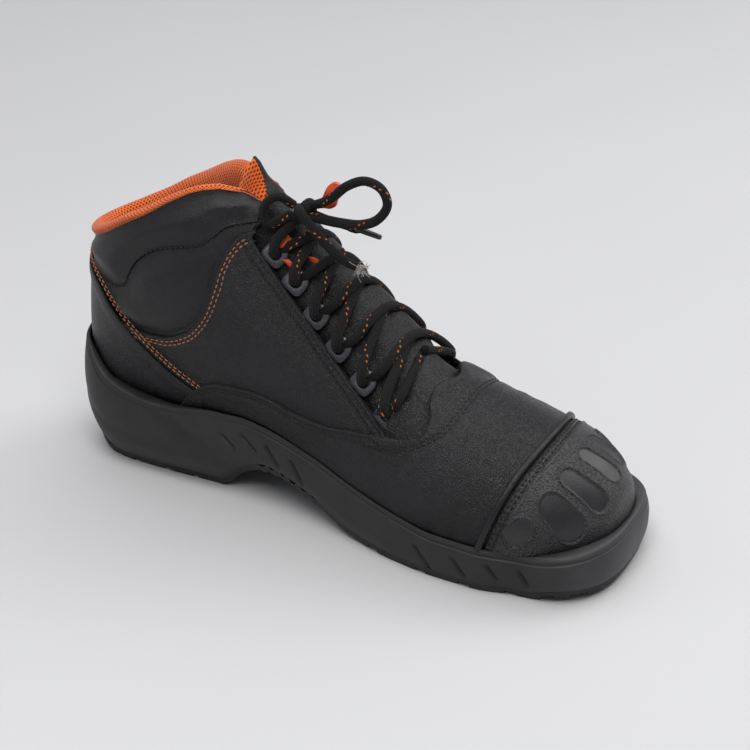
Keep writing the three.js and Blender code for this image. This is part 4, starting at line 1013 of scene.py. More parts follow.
@dataclass
class Stitching:
    """Rows of stitches of one thread, gathered into one piece."""

    name: str
    material: bpy.types.Material
    slot: Slot
    pitch: float = 2.9
    length: float = 2.2
    width: float = 0.34
    points: list[Array] = field(default_factory=list)
    faces: list[tuple[int, ...]] = field(default_factory=list)
    count: int = 0

    def row(self, line: Array, height: Heights | float, skip: float = 0.0) -> None:
        """Sew along a line of stations and places.

        Args:
            line: the seam.
            height: the height of the leather's face, or a function that gives it.
            skip: how far in from both ends the seam starts and stops.
        """
        even = evenly(FORM.on(line), line, self.pitch / 4)
        margin = int(skip / (self.pitch / 4))
        even = even[margin:len(even) - margin] if margin else even
        top = height(FORM.on(even)) if callable(height) else np.full(len(even), height)
        surface = FORM.on(even, top)
        out = FORM.out(even)
        half = self.length / 2
        profile = ((-1.0, -0.32, 0.35), (-0.72, 0.04, 0.9), (-0.25, 0.16, 1.0), (0.25, 0.16, 1.0),
                   (0.72, 0.04, 0.9), (1.0, -0.32, 0.35))
        for i in range(2, len(even) - 2, 4):
            ahead = surface[i + 2] - surface[i - 2]
            ahead /= np.linalg.norm(ahead) + 1e-9
            across = np.cross(out[i], ahead)
            rings = []
            for shift, rise, size in profile:
                middle = surface[i] + ahead * shift * half + out[i] * (rise + 0.06)
                for k in range(6):
                    angle = math.pi * k / 3
                    rings.append(middle + across * math.cos(angle) * self.width * size
                                 + out[i] * math.sin(angle) * self.width * 0.8 * size)
            base = self.count
            self.points.append(np.array(rings))
            self.faces.extend(tuple(base + v for v in face) for face in grid_faces(len(profile), 6, True))
            self.faces.append(tuple(base + k for k in range(5, -1, -1)))
            self.faces.append(tuple(base + 6 * (len(profile) - 1) + k for k in range(6)))
            self.count += len(rings)

    def build(self) -> bpy.types.Object:
        """Make the piece from all rows."""
        return add_piece(self.name, np.vstack(self.points), self.faces, [self.material])


# Outlines measured on the shoe


COLLAR_LINE = ((0.02, 0.745), (0.0332, 0.76), (0.0664, 0.786), (0.1096, 0.828), (0.1462, 0.87),
               (0.1827, 0.906),
               (0.2226, 0.95), (0.2538, 0.978), (0.2757, 0.99), (0.299, 0.9935), (0.3289, 0.979),
               (0.352, 0.955),
               (0.375, 0.9335), (0.4, 0.915))
LINING_DROP = np.array(((0.0, 3.4), (5.0, 3.2), (30.0, 2.4), (60.0, 1.6), (80.0, 0.3), (100.0, -0.8)))
COUNTER_LINE = ((0.0, 0.7), (0.04, 0.675), (0.081, 0.632), (0.138, 0.528), (0.172, 0.462), (0.229, 0.382),
                (0.285, 0.325))
ANKLE_LINE = ((0.085, 0.625), (0.1, 0.59), (0.12, 0.552), (0.144, 0.522), (0.182, 0.506), (0.222, 0.509),
              (0.255, 0.537), (0.278, 0.577), (0.296, 0.635), (0.305, 0.7), (0.315, 0.77), (0.327, 0.83),
              (0.34, 0.862), (0.362, 0.88))
WAVE_LINE = ((0.0, 0.69), (0.06, 0.665), (0.105, 0.64), (0.13, 0.642), (0.146, 0.66), (0.156, 0.7),
             (0.172, 0.748), (0.198, 0.786), (0.225, 0.806), (0.254, 0.816), (0.283, 0.83), (0.303, 0.858),
             (0.32, 0.888), (0.345, 0.9), (0.37, 0.905))
TOE_LINE = ((0.1, 0.806), (0.15, 0.813), (0.2236, 0.8257), (0.2926, 0.839), (0.3392, 0.8485), (0.3738, 0.859),
            (0.395, 0.8685), (0.6, 0.869))
WING_EDGE = ((0.74, -0.7349), (0.7342, -0.6169), (0.7242, -0.5724), (0.7067, -0.5474), (0.6767, -0.5225),
             (0.65, -0.5114), (0.6217, -0.503), (0.5942, -0.4836), (0.5658, -0.46), (0.525, -0.4045),
             (0.4808, -0.3559), (0.46, -0.3351), (0.435, -0.3087), (0.4117, -0.2643), (0.4092, -0.2365),
             (0.4125, -0.2004), (0.4242, -0.1629), (0.4317, -0.106), (0.425, -0.0616), (0.4158, -0.0241),
             (0.4145, 0.0))
VAMP_SEAM = ((0.4733, -0.3809), (0.4508, -0.3559), (0.4208, -0.3073), (0.3975, -0.2559), (0.3825, -0.2101),
             (0.375, -0.1338), (0.3725, -0.0533), (0.3722, 0.0))
FACING = ((0.44, 0.63), (0.467, 0.656), (0.517, 0.688), (0.566, 0.706), (0.616, 0.726), (0.669, 0.749),
          (0.725, 0.774), (0.786, 0.797), (0.803, 0.803))
THROAT_TOP = ((0.818, 0.822), (0.834, 0.856), (0.852, 0.886), (0.88, 0.905), (0.92, 0.91))
EYELET_PLACES = ((0.481, 0.712), (0.534, 0.736), (0.588, 0.75), (0.641, 0.77), (0.697, 0.803), (0.752, 0.822))


class Outlines:
    """Chart lines on the foot form, shared by the panels."""

    def __init__(self) -> None:
        """Work out all lines once."""
        self.rim = {side: self.rim_line(side, -2.0) for side in Side}
        line = np.array(TOE_LINE)
        places = np.linspace(-0.62, 0.62, 161)

        def ahead_of(shift: float) -> Callable[[Array, Array], Array]:
            """Return a test that is positive behind the toe line."""
            def test(station: Array, place: Array) -> Array:
                """Return how far a place lies behind the line."""
                p = FORM.at(station, place)
                return np.interp(p[..., 2] / COLLAR_HEIGHT, line[:, 0],
                                 line[:, 1]) * SOLE_LENGTH + shift - p[..., 0]
            return test

        self.toe = {shift: np.stack([FORM.solve(ahead_of(shift), places, 0.03, 0.5), places], 1)
                    for shift in (-3.6, -3.0, 0.0, 0.8)}
        edge = rounded_chart(np.array(WING_EDGE), 0.008)
        edge[-1, 1] = 0.0
        p = FORM.on(edge)
        self.wing_edge = edge[p[:, 2] > SOLE.rim_height(p[:, 0]) - 2.0]
        self.tab = edge[edge[:, 0] < 0.462]
        self.facing = rounded([(t, u - 1) for t, u in FACING], 0.03)
        self.throat = rounded([(t, u - 1) for t, u in (*FACING[-2:], *THROAT_TOP)], 0.05)
        self.ankle = FORM.locate(rounded(ANKLE_LINE, 0.015))
        self.wave = FORM.locate(rounded(WAVE_LINE, 0.015))
        self.counter = FORM.locate(rounded(COUNTER_LINE, 0.02))
        collar = np.array(COLLAR_LINE)

        def above(drop: float) -> Callable[[Array, Array], Array]:
            """Return a test that is positive above the collar."""
            def test(station: Array, place: Array) -> Array:
                """Return how far a place lies above the collar's line."""
                p = FORM.at(station, place)
                edge = np.interp(p[..., 0] / SOLE_LENGTH, collar[:, 0], collar[:, 1]) * COLLAR_HEIGHT
                return p[..., 2] - edge + drop * np.interp(p[..., 0], LINING_DROP[:, 0], LINING_DROP[:, 1])
            return test

        self.collar_places = np.linspace(0.08, 1.92, 261)
        self.collar = {drop: np.stack([FORM.solve(above(drop), self.collar_places, 0.8, 1.0),
                                       self.collar_places], 1) for drop in (0.0, 1.0)}
        edge = above(1.0)(self.throat[:, 0], self.throat[:, 1])
        self.throat = self.throat[edge < -0.4]

    @staticmethod
    def rim_line(side: Side, shift: float) -> Array:
        """Return the line where the form meets the sole's rim, from the toe to the heel."""
        def over(station: Array, place: Array) -> Array:
            """Return how far a place lies above the rim."""
            p = FORM.at(station, place)
            return p[..., 2] - SOLE.rim_height(p[..., 0]) - shift

        first = FORM.solve(over, np.array([0.0]), 0.0, 0.2)[0]
        last = FORM.solve(over, np.array([side.value * 1.0]), 0.76, 0.95)[0]
        station = first + (last - first) * (1 - np.cos(np.linspace(0, np.pi, 161))) / 2
        low, high = np.zeros(161), np.ones(161)
        for _ in range(36):
            middle = (low + high) / 2
            above = over(station, side.value * middle) > 0
            low, high = np.where(above, middle, low), np.where(above, high, middle)
        place = (low + high) / 2
        place[0], place[-1] = 0.0, 1.0
        return np.stack([station, side.value * place], 1)

    def rim_part(self, side: Side, from_x: float, to_x: float) -> Array:
        """Return the part of the rim's line between two lengths along the shoe, in mm."""
        line = self.rim[side]
        x = FORM.on(line)[:, 0]
        keep = (x >= min(from_x, to_x)) & (x <= max(from_x, to_x))
        part = line[keep]
        return part if from_x > to_x else part[::-1]

    def toe_part(self, shift: float) -> Array:
        """Return the toe line across the shoe between the sole's rims, from near to far."""
        line = self.toe[shift]
        p = FORM.on(line)
        over = p[:, 2] > SOLE.rim_height(p[:, 0]) - 2.0
        inside = over & (np.abs(line[:, 1]) < 0.6)
        return line[inside]


# The shoe's sub-assemblies


@dataclass
class Studio:
    """Camera, lights and floor."""

    azimuth: float = 27.18
    elevation: float = 27.68
    distance: float = 829.38
    target: Sequence[float] = (7.87, 10.53, 60.0)
    lens: float = 81.6
    sensor: float = 36.0
    key_power: float = 9.0
    fill_power: float = 2.5
    back_power: float = 7.0
    sun_power: float = 1.5
    sky_strength: float = 0.25

    def camera(self) -> None:
        """Place the camera as the photo's."""
        a, e = math.radians(self.azimuth), math.radians(self.elevation)
        back = Vector((math.sin(a) * math.cos(e), -math.cos(a) * math.cos(e), math.sin(e)))
        data = bpy.data.cameras.new("camera")
        data.lens, data.sensor_width = self.lens, self.sensor
        data.clip_start, data.clip_end = 0.05, 20.0
        camera = bpy.data.objects.new("camera", data)
        camera.location = (Vector(self.target) + back * self.distance) * MM
        camera.rotation_mode = "QUATERNION"
        camera.rotation_quaternion = (-back).to_track_quat("-Z", "Y")
        bpy.context.scene.collection.objects.link(camera)
        bpy.context.scene.camera = camera

    def _lamp(self, name: str, place: Sequence[float], size: float, power: float,
              colour: Colour) -> None:
        """Add a square soft lamp that faces the shoe."""
        data = bpy.data.lights.new(name, "AREA")
        data.shape, data.size, data.energy, data.color = "SQUARE", size, power, colour
        lamp = bpy.data.objects.new(name, data)
        lamp.location = place
        lamp.rotation_mode = "QUATERNION"
        lamp.rotation_quaternion = (Vector((0, 0, 0.05)) - Vector(place)).to_track_quat("-Z", "Y")
        bpy.context.scene.collection.objects.link(lamp)

    def lights(self) -> None:
        """Hang the lamps and set the pale surroundings."""
        self._lamp("key_lamp", (0.25, -0.55, 1.25), 0.9, self.key_power, (1.0, 0.99, 0.97))
        self._lamp("fill_lamp", (-1.2, -0.7, 0.7), 1.2, self.fill_power, (0.95, 0.97, 1.0))
        self._lamp("back_lamp", (0.7, 1.0, 0.9), 0.9, self.back_power, (1.0, 1.0, 1.0))
        ceiling = bpy.data.lights.new("ceiling_light", "SUN")
        ceiling.energy, ceiling.angle = self.sun_power, math.radians(70)
        lamp = bpy.data.objects.new("ceiling_light", ceiling)
        lamp.rotation_euler = (math.radians(-14), math.radians(-6), 0)
        bpy.context.scene.collection.objects.link(lamp)
        world = bpy.data.worlds.new("surroundings")
        world.use_nodes = True
        sky = world.node_tree.nodes["Background"]
        sky.inputs["Color"].default_value = (0.86, 0.88, 0.92, 1.0)
        sky.inputs["Strength"].default_value = self.sky_strength
        bpy.context.scene.world = world
        bpy.context.scene.view_settings.view_transform = "Standard"

    def _sheet(self, name: str, corners: Line, colour: Colour) -> None:
        """Add a flat plain sheet to the stage."""
        kit = Nodes(name)
        place = kit.node("TexCoord").outputs["Object"]
        tone = kit.blend(kit.span(kit.noise(place, 2.2, 2.0), 0.3, 0.7, 0.0, 1.0), colour,
                         tuple(c * 0.965 for c in colour))
        mesh = bpy.data.meshes.new(name)
        mesh.from_pydata(corners, [], [(0, 1, 2, 3)])
        mesh.materials.append(kit.finish(Base_Color=tone, Roughness=0.62, Specular_IOR_Level=0.25))
        sheet = bpy.data.objects.new(name, mesh)
        bpy.context.scene.collection.objects.link(sheet)

    def stage(self) -> None:
        """Lay the floor."""
        self._sheet("floor", [(-6, -6, 0), (6, -6, 0), (6, 6, 0), (-6, 6, 0)], (0.62, 0.62, 0.63))


@dataclass
class Uppers:
    """The shell of the upper and the leather panels on it."""

    lines: Outlines
    finish: Wardrobe
    wall: float = 2.2
    orange: Stitching = field(init=False)
    black: Stitching = field(init=False)

    def __post_init__(self) -> None:
        """Take out the two threads."""
        self.orange = Stitching("stitching_orange", self.finish["orange_thread"], Slot.LEATHER,
                                2.9, 2.15, 0.34)
        self.black = Stitching("stitching_black", self.finish["black_thread"], Slot.LEATHER, 2.8, 2.15, 0.42)

    def shell(self) -> None:
        """Make the smooth outer and inner face of the upper under the panels."""
        near, far = Side.NEAR, Side.FAR
        lines = self.lines
        throat = np.vstack([lines.throat[::-1], lines.facing[::-1][1:]])
        front = rounded_chart(np.vstack([lines.facing[2:0:-1], lines.tab]), 0.03)
        front[-1, 1] = 0
        half = np.vstack([throat[:-2], front])
        collar = lines.collar[0.0]
        first = behind(throat[:1])[0, 1]
        near_collar = collar[(collar[:, 1] >= 1) & (collar[:, 1] <= first)] - (0, 2)
        far_collar = mirror(near_collar[::-1])
        bottom_far = lines.rim[far]
        bottom_near = lines.rim[near]
        edges = [
            (np.vstack([near_collar, throat[:1]]), False), (half, False), (mirror(half)[::-1], False),
            (np.vstack([mirror(throat[:1]), far_collar]), False),
            (np.array([far_collar[-1], bottom_far[-1]]), False), (bottom_far[::-1], False),
            (bottom_near, False), (np.array([bottom_near[-1], near_collar[0]]), False),
        ]
        for name, height, nodes, material in (("upper_shell", 0.15, ["upper"], "leather_soft"),
                                              ("upper_inside", -self.wall, [], "dark_lining")):
            Panel(name, Slot.LEATHER, [self.finish[material]], edges, base=height, spacing=3.2,
                  nodes=nodes).build()

    def footbed(self) -> None:
        """Close the upper underneath with the board that carries the insole."""
        ends = []
        for side in (Side.FAR, Side.NEAR):
            line = self.lines.rim[side]
            ends.append(line[np.argsort(line[:, 0])])
        rows, columns = 110, 48
        station = np.linspace(0.012, min(line[-1, 0] for line in ends) - 0.001, rows)[:, None]
        far, near = (np.interp(station, line[:, 0], line[:, 1]) for line in ends)
        place = far + (2 + near - far) * np.linspace(0, 1, columns)[None]
        points = FORM.at(station, place, -0.4).reshape(-1, 3)
        add_piece("footbed_board", points, grid_faces(rows, columns), [self.finish["dark_lining"]])

    def vamp(self) -> None:
        """Cut the large overlay with its two wings and sew its edge."""
        edge = self.lines.wing_edge
        around = np.vstack([edge, mirror(edge)[::-1][1:]])
        toe = self.lines.toe_part(-3.0)
        start = float(FORM.at(*edge[0])[0])
        far = self.lines.rim_part(Side.FAR, start, FORM.at(*toe[-1])[0])
        near = self.lines.rim_part(Side.NEAR, FORM.at(*toe[0])[0], start)
        split = int(np.argmax(edge[:, 0] < 0.492))
        seam_points = np.array(VAMP_SEAM)
        rows = []
        for inset in (2.1, 4.1):
            along = offset_line(edge[:split], -inset)
            bend = rounded_chart(np.vstack([along[-2:], seam_points]), 0.03)
            if inset > 3:
                bend = offset_line(bend, -1.9)
                bend[-1, 1] = 0.0
            row = np.vstack([along[:-2], bend])
            rows.append(np.vstack([row, mirror(row)[::-1][1:]]))
        panel = Panel("vamp_leather", Slot.LEATHER, [self.finish["leather_grained"]],
                      [(around, True), (far, False), (toe[::-1], False), (near, False)],
                      base=1.75, lap=1.15, lap_width=5.5, foot=0.9, seams=rows, nodes=["vamp"], wave=0.12,
                      extra=self._vamp_folds)
        panel.build()
        for row in rows:
            self.black.row(row, panel.top, 3.0)

    @staticmethod
    def _vamp_folds(points: Array) -> Array:
        """Return the shallow walking folds across the forefoot."""
        x = points[:, 0]
        across = np.exp(-((x - 226.0) / 13.0) ** 2)
        return 0.22 * across * np.sin((x + 0.25 * np.abs(points[:, 1])) * 0.62)

    def quarter(self, side: Side) -> None:
        """Cut one side's quarter with its facing and sew it."""
        word = side.name.lower()
        lines = self.lines
        bottom = FORM.locate(rounded([(0.085, 0.625), (0.09, 0.56), (0.125, 0.48), (0.165, 0.415),
                                      (0.21, 0.345),
                                      (0.26, 0.29), (0.3, 0.33), (0.395, 0.357), (0.46, 0.343),
                                      (0.529, 0.329),
                                      (0.6, 0.32), (0.645, 0.325)], 0.02))
        facing = lines.facing[::-1]
        ankle = lines.ankle
        near_edges = [(facing, True), (np.vstack([facing[-1:], bottom[::-1]]), False),
                      (np.vstack([bottom[:1], ankle]), True), (np.vstack([ankle[-1:], facing[:1]]), False)]
        edges = [(sided(line, side), free) for line, free in near_edges]
        rows = [sided(offset_line(facing, shift), side) for shift in (-2.0, -4.7)]
        arcs = [sided(offset_line(ankle, shift), side) for shift in (-2.3, -4.1)]
        panel = Panel(f"quarter_{word}_leather", Slot.LEATHER, [self.finish["leather_grained"]], edges,
                      base=1.45,
                      lap=0.5, foot=-0.2, seams=[*rows, *arcs], nodes=[f"quarter_{word}"], wave=0.16)
        panel.build()
        for row in rows:
            self.black.row(row, panel.top, 2.0)
        for row in arcs:
            self.orange.row(row, panel.top, 4.0)

    def counter(self) -> None:
        """Cut the heel counter and sew its upper edge."""
        top = self.lines.counter
        near_top = behind(top[::-1])
        far_top = mirror(top)
        near_top[-1, 1] = 1.0
        far_top[0, 1] = 1.0
        around = np.vstack([near_top, far_top[1:]])
        front = 0.285 * SOLE_LENGTH
        near = behind(self.lines.rim_part(Side.NEAR, 0.0, front))
        far = self.lines.rim_part(Side.FAR, front, 0.0)
        near[0, 1] = far[-1, 1] = 1.0
        edges = [(around, True), (np.vstack([around[-1:], far]), False), (near, False),
                 (np.array([near[-1], around[0]]), False)]
        rows = [offset_line(around, shift) for shift in (-3.0, -4.7)]
        panel = Panel("heel_counter_leather", Slot.LEATHER, [self.finish["leather_grained"]], edges, base=1.5,
                      lap=1.1, lap_width=6.0, foot=0.9, seams=rows, nodes=["heel_counter"], wave=0.1)
        panel.build()
        for row in rows:
            self.orange.row(row, panel.top, 3.0)

    def flap(self, side: Side) -> None:
        """Cut the grained flap that lies under the vamp's tab beside the lowest eyelet."""
        word = side.name.lower()
        free = rounded([(0.5, -0.29), (0.474, -0.235), (0.452, -0.185), (0.434, -0.158), (0.415, -0.15)],
                       0.04)
        rest = rounded([(0.415, -0.15), (0.39, -0.2), (0.39, -0.3), (0.45, -0.4), (0.5, -0.37),
                        (0.5, -0.29)], 0.04)
        Panel(f"throat_flap_{word}", Slot.LEATHER, [self.finish["leather_grained"]],
              [(sided(free, side), True), (sided(rest, side), False)], base=-0.2, foot=-1.8, wave=0.3,
              spacing=1.6).build()

    def ankle_pad(self, side: Side) -> None:
        """Stuff one side's ankle pad."""
        word = side.name.lower()
        wave = self.lines.wave
        lower = FORM.locate(rounded([(0.0, 0.66), (0.06, 0.62), (0.09, 0.56), (0.12, 0.51), (0.144, 0.488),
                                     (0.182, 0.474), (0.222, 0.475), (0.262, 0.505), (0.292, 0.55),
                                     (0.31, 0.61),
                                     (0.322, 0.68), (0.332, 0.76), (0.342, 0.81), (0.352, 0.835),
                                     (0.365, 0.85)],
                                    0.02))
        front = self.lines.throat
        keep = front[(front[:, 0] > lower[-1, 0] + 0.003) & (front[:, 0] < wave[-1, 0] - 0.003)]
        near_edges = [(wave[::-1], True), (np.array([wave[0], lower[0]]), False), (lower, False),
                      (np.vstack([lower[-1:], keep, wave[-1:]]), False)]
        edges = [(sided(line, side), free) for line, free in near_edges]
        piece = Panel(f"ankle_pad_{word}_leather", Slot.SOFT, [self.finish["leather_soft"]], edges, base=0.9,
                      puff=3.4, puff_width=9.0, foot=0.1, edge_radius=0.5, wave=0.3,
                      nodes=[f"ankle_pad_{word}"], extra=self._ankle_sink).build()

    def _ankle_sink(self, points: Array) -> Array:
        """Return how far the pad sinks to where the quarter is sewn over it."""
        arc = FORM.on(self.lines.ankle)
        away = nearest_distance(points, arc if points[:, 1].mean() < 0 else arc * (1, -1, 1))
        return -2.3 * np.exp(-((away / 5.5) ** 2))

    def cuff(self) -> None:
        """Stuff the padded band round the collar."""
        wave = self.lines.wave
        collar = self.lines.collar[1.0]
        near_end = 2 + self.lines.throat[-1, 1]
        top = collar[(collar[:, 1] > 2 - near_end) & (collar[:, 1] < near_end)]
        near_wave = behind(wave)
        near_wave[0, 1] = 1.0
        far_wave = mirror(wave)
        far_wave[0, 1] = 1.0
        around = np.vstack([far_wave[::-1], near_wave[1:]])
        throat = self.lines.throat
        upper_part = throat[throat[:, 0] > wave[-1, 0] + 0.004]
        near_front = np.vstack([near_wave[-1:], behind(upper_part)])
        far_front = np.vstack([mirror(upper_part)[::-1], far_wave[-1:]])
        edges = [(around, False), (np.vstack([near_front, top[-1:]]), False), (top[::-1], False),
                 (np.vstack([top[:1], far_front]), False)]
        piece = Panel("cuff_leather", Slot.SOFT, [self.finish["leather_soft"]], edges, base=1.0, puff=3.6,
                      puff_width=7.5, foot=0.2, edge_radius=0.5, wave=0.35, nodes=["cuff"],
                      extra=self._cuff_creases).build()

    @staticmethod
    def _cuff_creases(points: Array) -> Array:
        """Return the pinched creases at the front of the padded band."""
        depth = np.zeros(len(points))
        for x, z, lean, long, wide, deep in ((97, 146, -0.5, 11, 2.2, 1.2), (88, 141, -0.9, 8, 2.0, 0.6),
                                             (104, 150, 0.1, 8, 2.2, 0.8), (14, 112, 0.9, 7, 2.0, 0.5)):
            dx, dz = points[:, 0] - x, points[:, 2] - z
            along = dx * math.sin(lean) + dz * math.cos(lean)
            across = dx * math.cos(lean) - dz * math.sin(lean)
            depth -= deep * np.exp(-((across / wide) ** 2) - (along / long) ** 2)
        return depth

    def build(self) -> None:
        """Make the shell, the panels and the stitching."""
        self.shell()
        self.footbed()
        self.cuff()
        for side in Side:
            self.ankle_pad(side)
            self.quarter(side)
            self.flap(side)
            self.black.row(sided(self.lines.wave, side), 1.05, 2.0)
        self.counter()
        self.vamp()
        ToeCap(self.lines, self.finish, self.black).build()
        self.orange.build()
        self.black.build()


OVALS = ((0.1708, -0.411, 0.2167, -0.511, 11), (0.1642, -0.2726, 0.0717, -0.4628, 13.6),
         (0.1467, -0.149, 0.0358, -0.2545, 11), (0.1375, -0.0408, 0.0358, -0.0047, 10),
         (0.1383, 0.0592, 0.06, 0.2091, 10.5), (0.152, 0.2, 0.08, 0.38, 12), (0.168, 0.34, 0.15, 0.51, 11.5))


@dataclass
class ToeCap:
    """The coarse toe guard with its ovals, and the piped seam behind it."""

    lines: Outlines
    finish: Wardrobe
    thread: Stitching
    ridge: float = 0.55
    sink: float = 0.45

    def __post_init__(self) -> None:
        """Set a flat frame at each oval."""
        self.frames = []
        for top, top_place, foot, foot_place, wide in OVALS:
            station, place = (top + foot) / 2, (top_place + foot_place) / 2
            middle, out = FORM.at(station, place), FORM.normal(station, place)
            lengthwise = FORM.at(foot, foot_place) - FORM.at(top, top_place)
            long = float(np.linalg.norm(lengthwise))
            lengthwise -= out * lengthwise.dot(out)
            lengthwise /= np.linalg.norm(lengthwise)
            self.frames.append((middle, lengthwise, np.cross(lengthwise, out), long / 2, wide / 2, out))

    def distance(self, points: Array) -> Array:
        """Return each point's distance outside the nearest oval, negative inside."""
        best = np.full(len(points), 50.0)
        for middle, lengthwise, across, long, wide, out in self.frames:
            gap = points - middle
            a, b, c = gap @ lengthwise, gap @ across, gap @ out
            radius = wide * (1 + 0.12 * np.clip(a / long, -1, 1))
            away = np.hypot(np.maximum(np.abs(a) - (long - wide), 0), b) - radius
            best = np.minimum(best, np.where(np.abs(c) < 9, away, 50.0))
        return best

    def heights(self, points: Array) -> Array:
        """Return the relief of the guard: seam band, raised rib and ovals."""
        toe = self.lines.toe[0.8]
        behind_edge = nearest_distance(points, FORM.on(toe))
        band = -0.9 * (1 - smoothstep((behind_edge - 3.6) / 0.8))
        rib = 0.4 * np.exp(-(((behind_edge - 4.8) / 0.7) ** 2))
        away = self.distance(points)
        ovals = self.ridge * np.exp(-((away / 0.38) ** 2)) - self.sink * smoothstep(-(away + 0.1) / 0.6)
        return band + rib + ovals

    def ridge_guides(self) -> list[Array]:
        """Return close rows of chart points along the rim of every oval."""
        rows = []
        for middle, lengthwise, across, long, wide, out in self.frames:
            straight = long - wide
            for shift in (-1.1, -0.6, -0.25, 0.0, 0.25, 0.6):
                angle = np.linspace(0, 2 * np.pi, 120, endpoint=False)
                radius = wide + shift
                a = np.sign(np.cos(angle)) * straight + radius * np.cos(angle)
                b = radius * np.sin(angle)
                line = np.vstack([np.column_stack([a, b]), *[np.column_stack(
                    [np.linspace(-straight, straight, 40), np.full(40, sign * radius)]) for sign in (-1, 1)]])
                line[:, 1] *= 1 + 0.12 * np.clip(line[:, 0] / long, -1, 1)
                points = middle + np.outer(line[:, 0], lengthwise) + np.outer(line[:, 1], across)
                rows.append(FORM.drop(points, out))
        return rows

    def guard(self) -> None:
        """Make the guard."""
        toe = self.lines.toe_part(0.8)
        near = self.lines.rim[Side.NEAR]
        far = self.lines.rim[Side.FAR]
        limits = [FORM.at(*toe[0])[0], FORM.at(*toe[-1])[0]]
        near = near[FORM.on(near)[:, 0] > limits[0] + 0.5]
        far = far[FORM.on(far)[:, 0] > limits[1] + 0.5]
        edges = [(toe, True), (np.vstack([toe[-1:], far[::-1]]), False), (np.vstack([near, toe[:1]]), False)]
        panel = Panel("toe_guard_rubber", Slot.SCUFF,
                      [self.finish["scuff_rubber"], self.finish["smooth_rubber"]],
                      edges, base=2.7, foot=0.3, edge_radius=0.7, spacing=0.75, rings=(0.3, 0.8, 1.5),
                      nodes=["toe_guard"], extra=self.heights, guides=self.ridge_guides(),
                      pick=lambda middles: (self.distance(middles) < -0.5).astype(int))
        panel.build()
        for inset in (1.2, 2.9):
            line = self.lines.toe[0.8]
            over = offset_line(line[np.abs(line[:, 1]) < 0.56], -inset)
            p = FORM.on(over)
            over = over[p[:, 2] > SOLE.rim_height(p[:, 0]) + 1.5]
            self.thread.row(over, panel.top)

    def piping(self) -> None:
        """Roll the smooth edge that stands up behind the guard."""
        back, front = self.lines.toe_part(-3.6), self.lines.toe_part(0.0)
        count = 140
        rails = [np.stack([np.interp(np.linspace(0, 1, count), np.linspace(0, 1, len(r)),
                                     r[:, k]) for k in (0, 1)], 1)
                 for r in (back, front)]
        profile = ((0.0, 1.2), (0.02, 2.6), (0.08, 3.3), (0.2, 3.7), (0.5, 3.8), (0.8, 3.6), (0.92, 3.1),
                   (0.98, 2.4), (1.0, 1.2))
        rows = [FORM.at(*(rails[0] * (1 - share) + rails[1] * share).T, height) for share, height in profile]
        points = np.stack(rows, 1).reshape(-1, 3)
        faces = grid_faces(count, len(profile))
        add_piece("toe_piping", points, faces, [self.finish["leather_soft"]], ["toe_seam"])

    def build(self) -> None:
        """Make the guard and the piping."""
        self.guard()
        self.piping()


@dataclass
class Collar:
    """The rolled orange rim of the collar and the padding inside it."""

    lines: Outlines
    finish: Wardrobe
    profile: tuple[tuple[float, float], ...] = (
        (0.6, -5.0), (1.9, -3.8), (2.9, -2.2), (2.9, -0.6), (2.1, 0.8), (0.6, 1.7), (-1.2, 1.9), (-3.2, 1.4),
        (-5.0, 0.2), (-6.4, -1.6), (-7.4, -4.4), (-8.2, -8.4), (-8.6, -13.5), (-8.5, -20.0), (-8.0, -26.0),
        (-7.2, -32.0), (-6.0, -38.0), (-4.6, -43.0), (-3.0, -46.0),
    )

    def build(self) -> None:
        """Make the lining in one sweep round the collar."""
        line = self.lines.collar[0.0]
        end = 2 + self.lines.throat[-1, 1] + 0.012
        line = line[(line[:, 1] > 2 - end) & (line[:, 1] < end)]
        edge = FORM.on(line)
        gap = travelled(edge)
        small = 2e-3
        up = FORM.on(line) - FORM.at(line[:, 0] - small, line[:, 1])
        pace = np.linalg.norm(up, axis=1) / small
        up /= pace[:, None] * small
        dense = rounded(self.profile, 0.016)
        drop = np.interp(edge[:, 0], LINING_DROP[:, 0], LINING_DROP[:, 1])
        swell = np.clip(drop / 3.4, 0.12, 1.0)
        rows, maps = [], []
        way = 0.0
        for k, (offset, rise) in enumerate(dense):
            way += 0.0 if k == 0 else float(np.hypot(*(dense[k] - dense[k - 1])))
            shown = swell if offset > 0 else np.ones(len(swell))
            station = line[:, 0] + min(rise, 0.0) * shown / pace
            crumple = 0.35 * ripple(edge + k, 13.0, 5.0) * min(way / 6.0, 1.0)
            out = offset * (0.35 + 0.65 * shown) + crumple
            lift = max(rise, 0.0) * (0.5 + 0.5 * shown)[:, None]
            rows.append(FORM.at(station, line[:, 1], out) + up * lift)
            maps.append(np.stack([gap, np.full(len(gap), way)], 1))
        points = np.stack(rows, 0).reshape(-1, 3)
        faces = [face[::-1] for face in grid_faces(len(dense), len(line))]
        piece = add_piece("collar_lining_mesh", points, faces, [self.finish["lining_mesh"]],
                          ["collar_lining"], uv=np.stack(maps, 0).reshape(-1, 2))


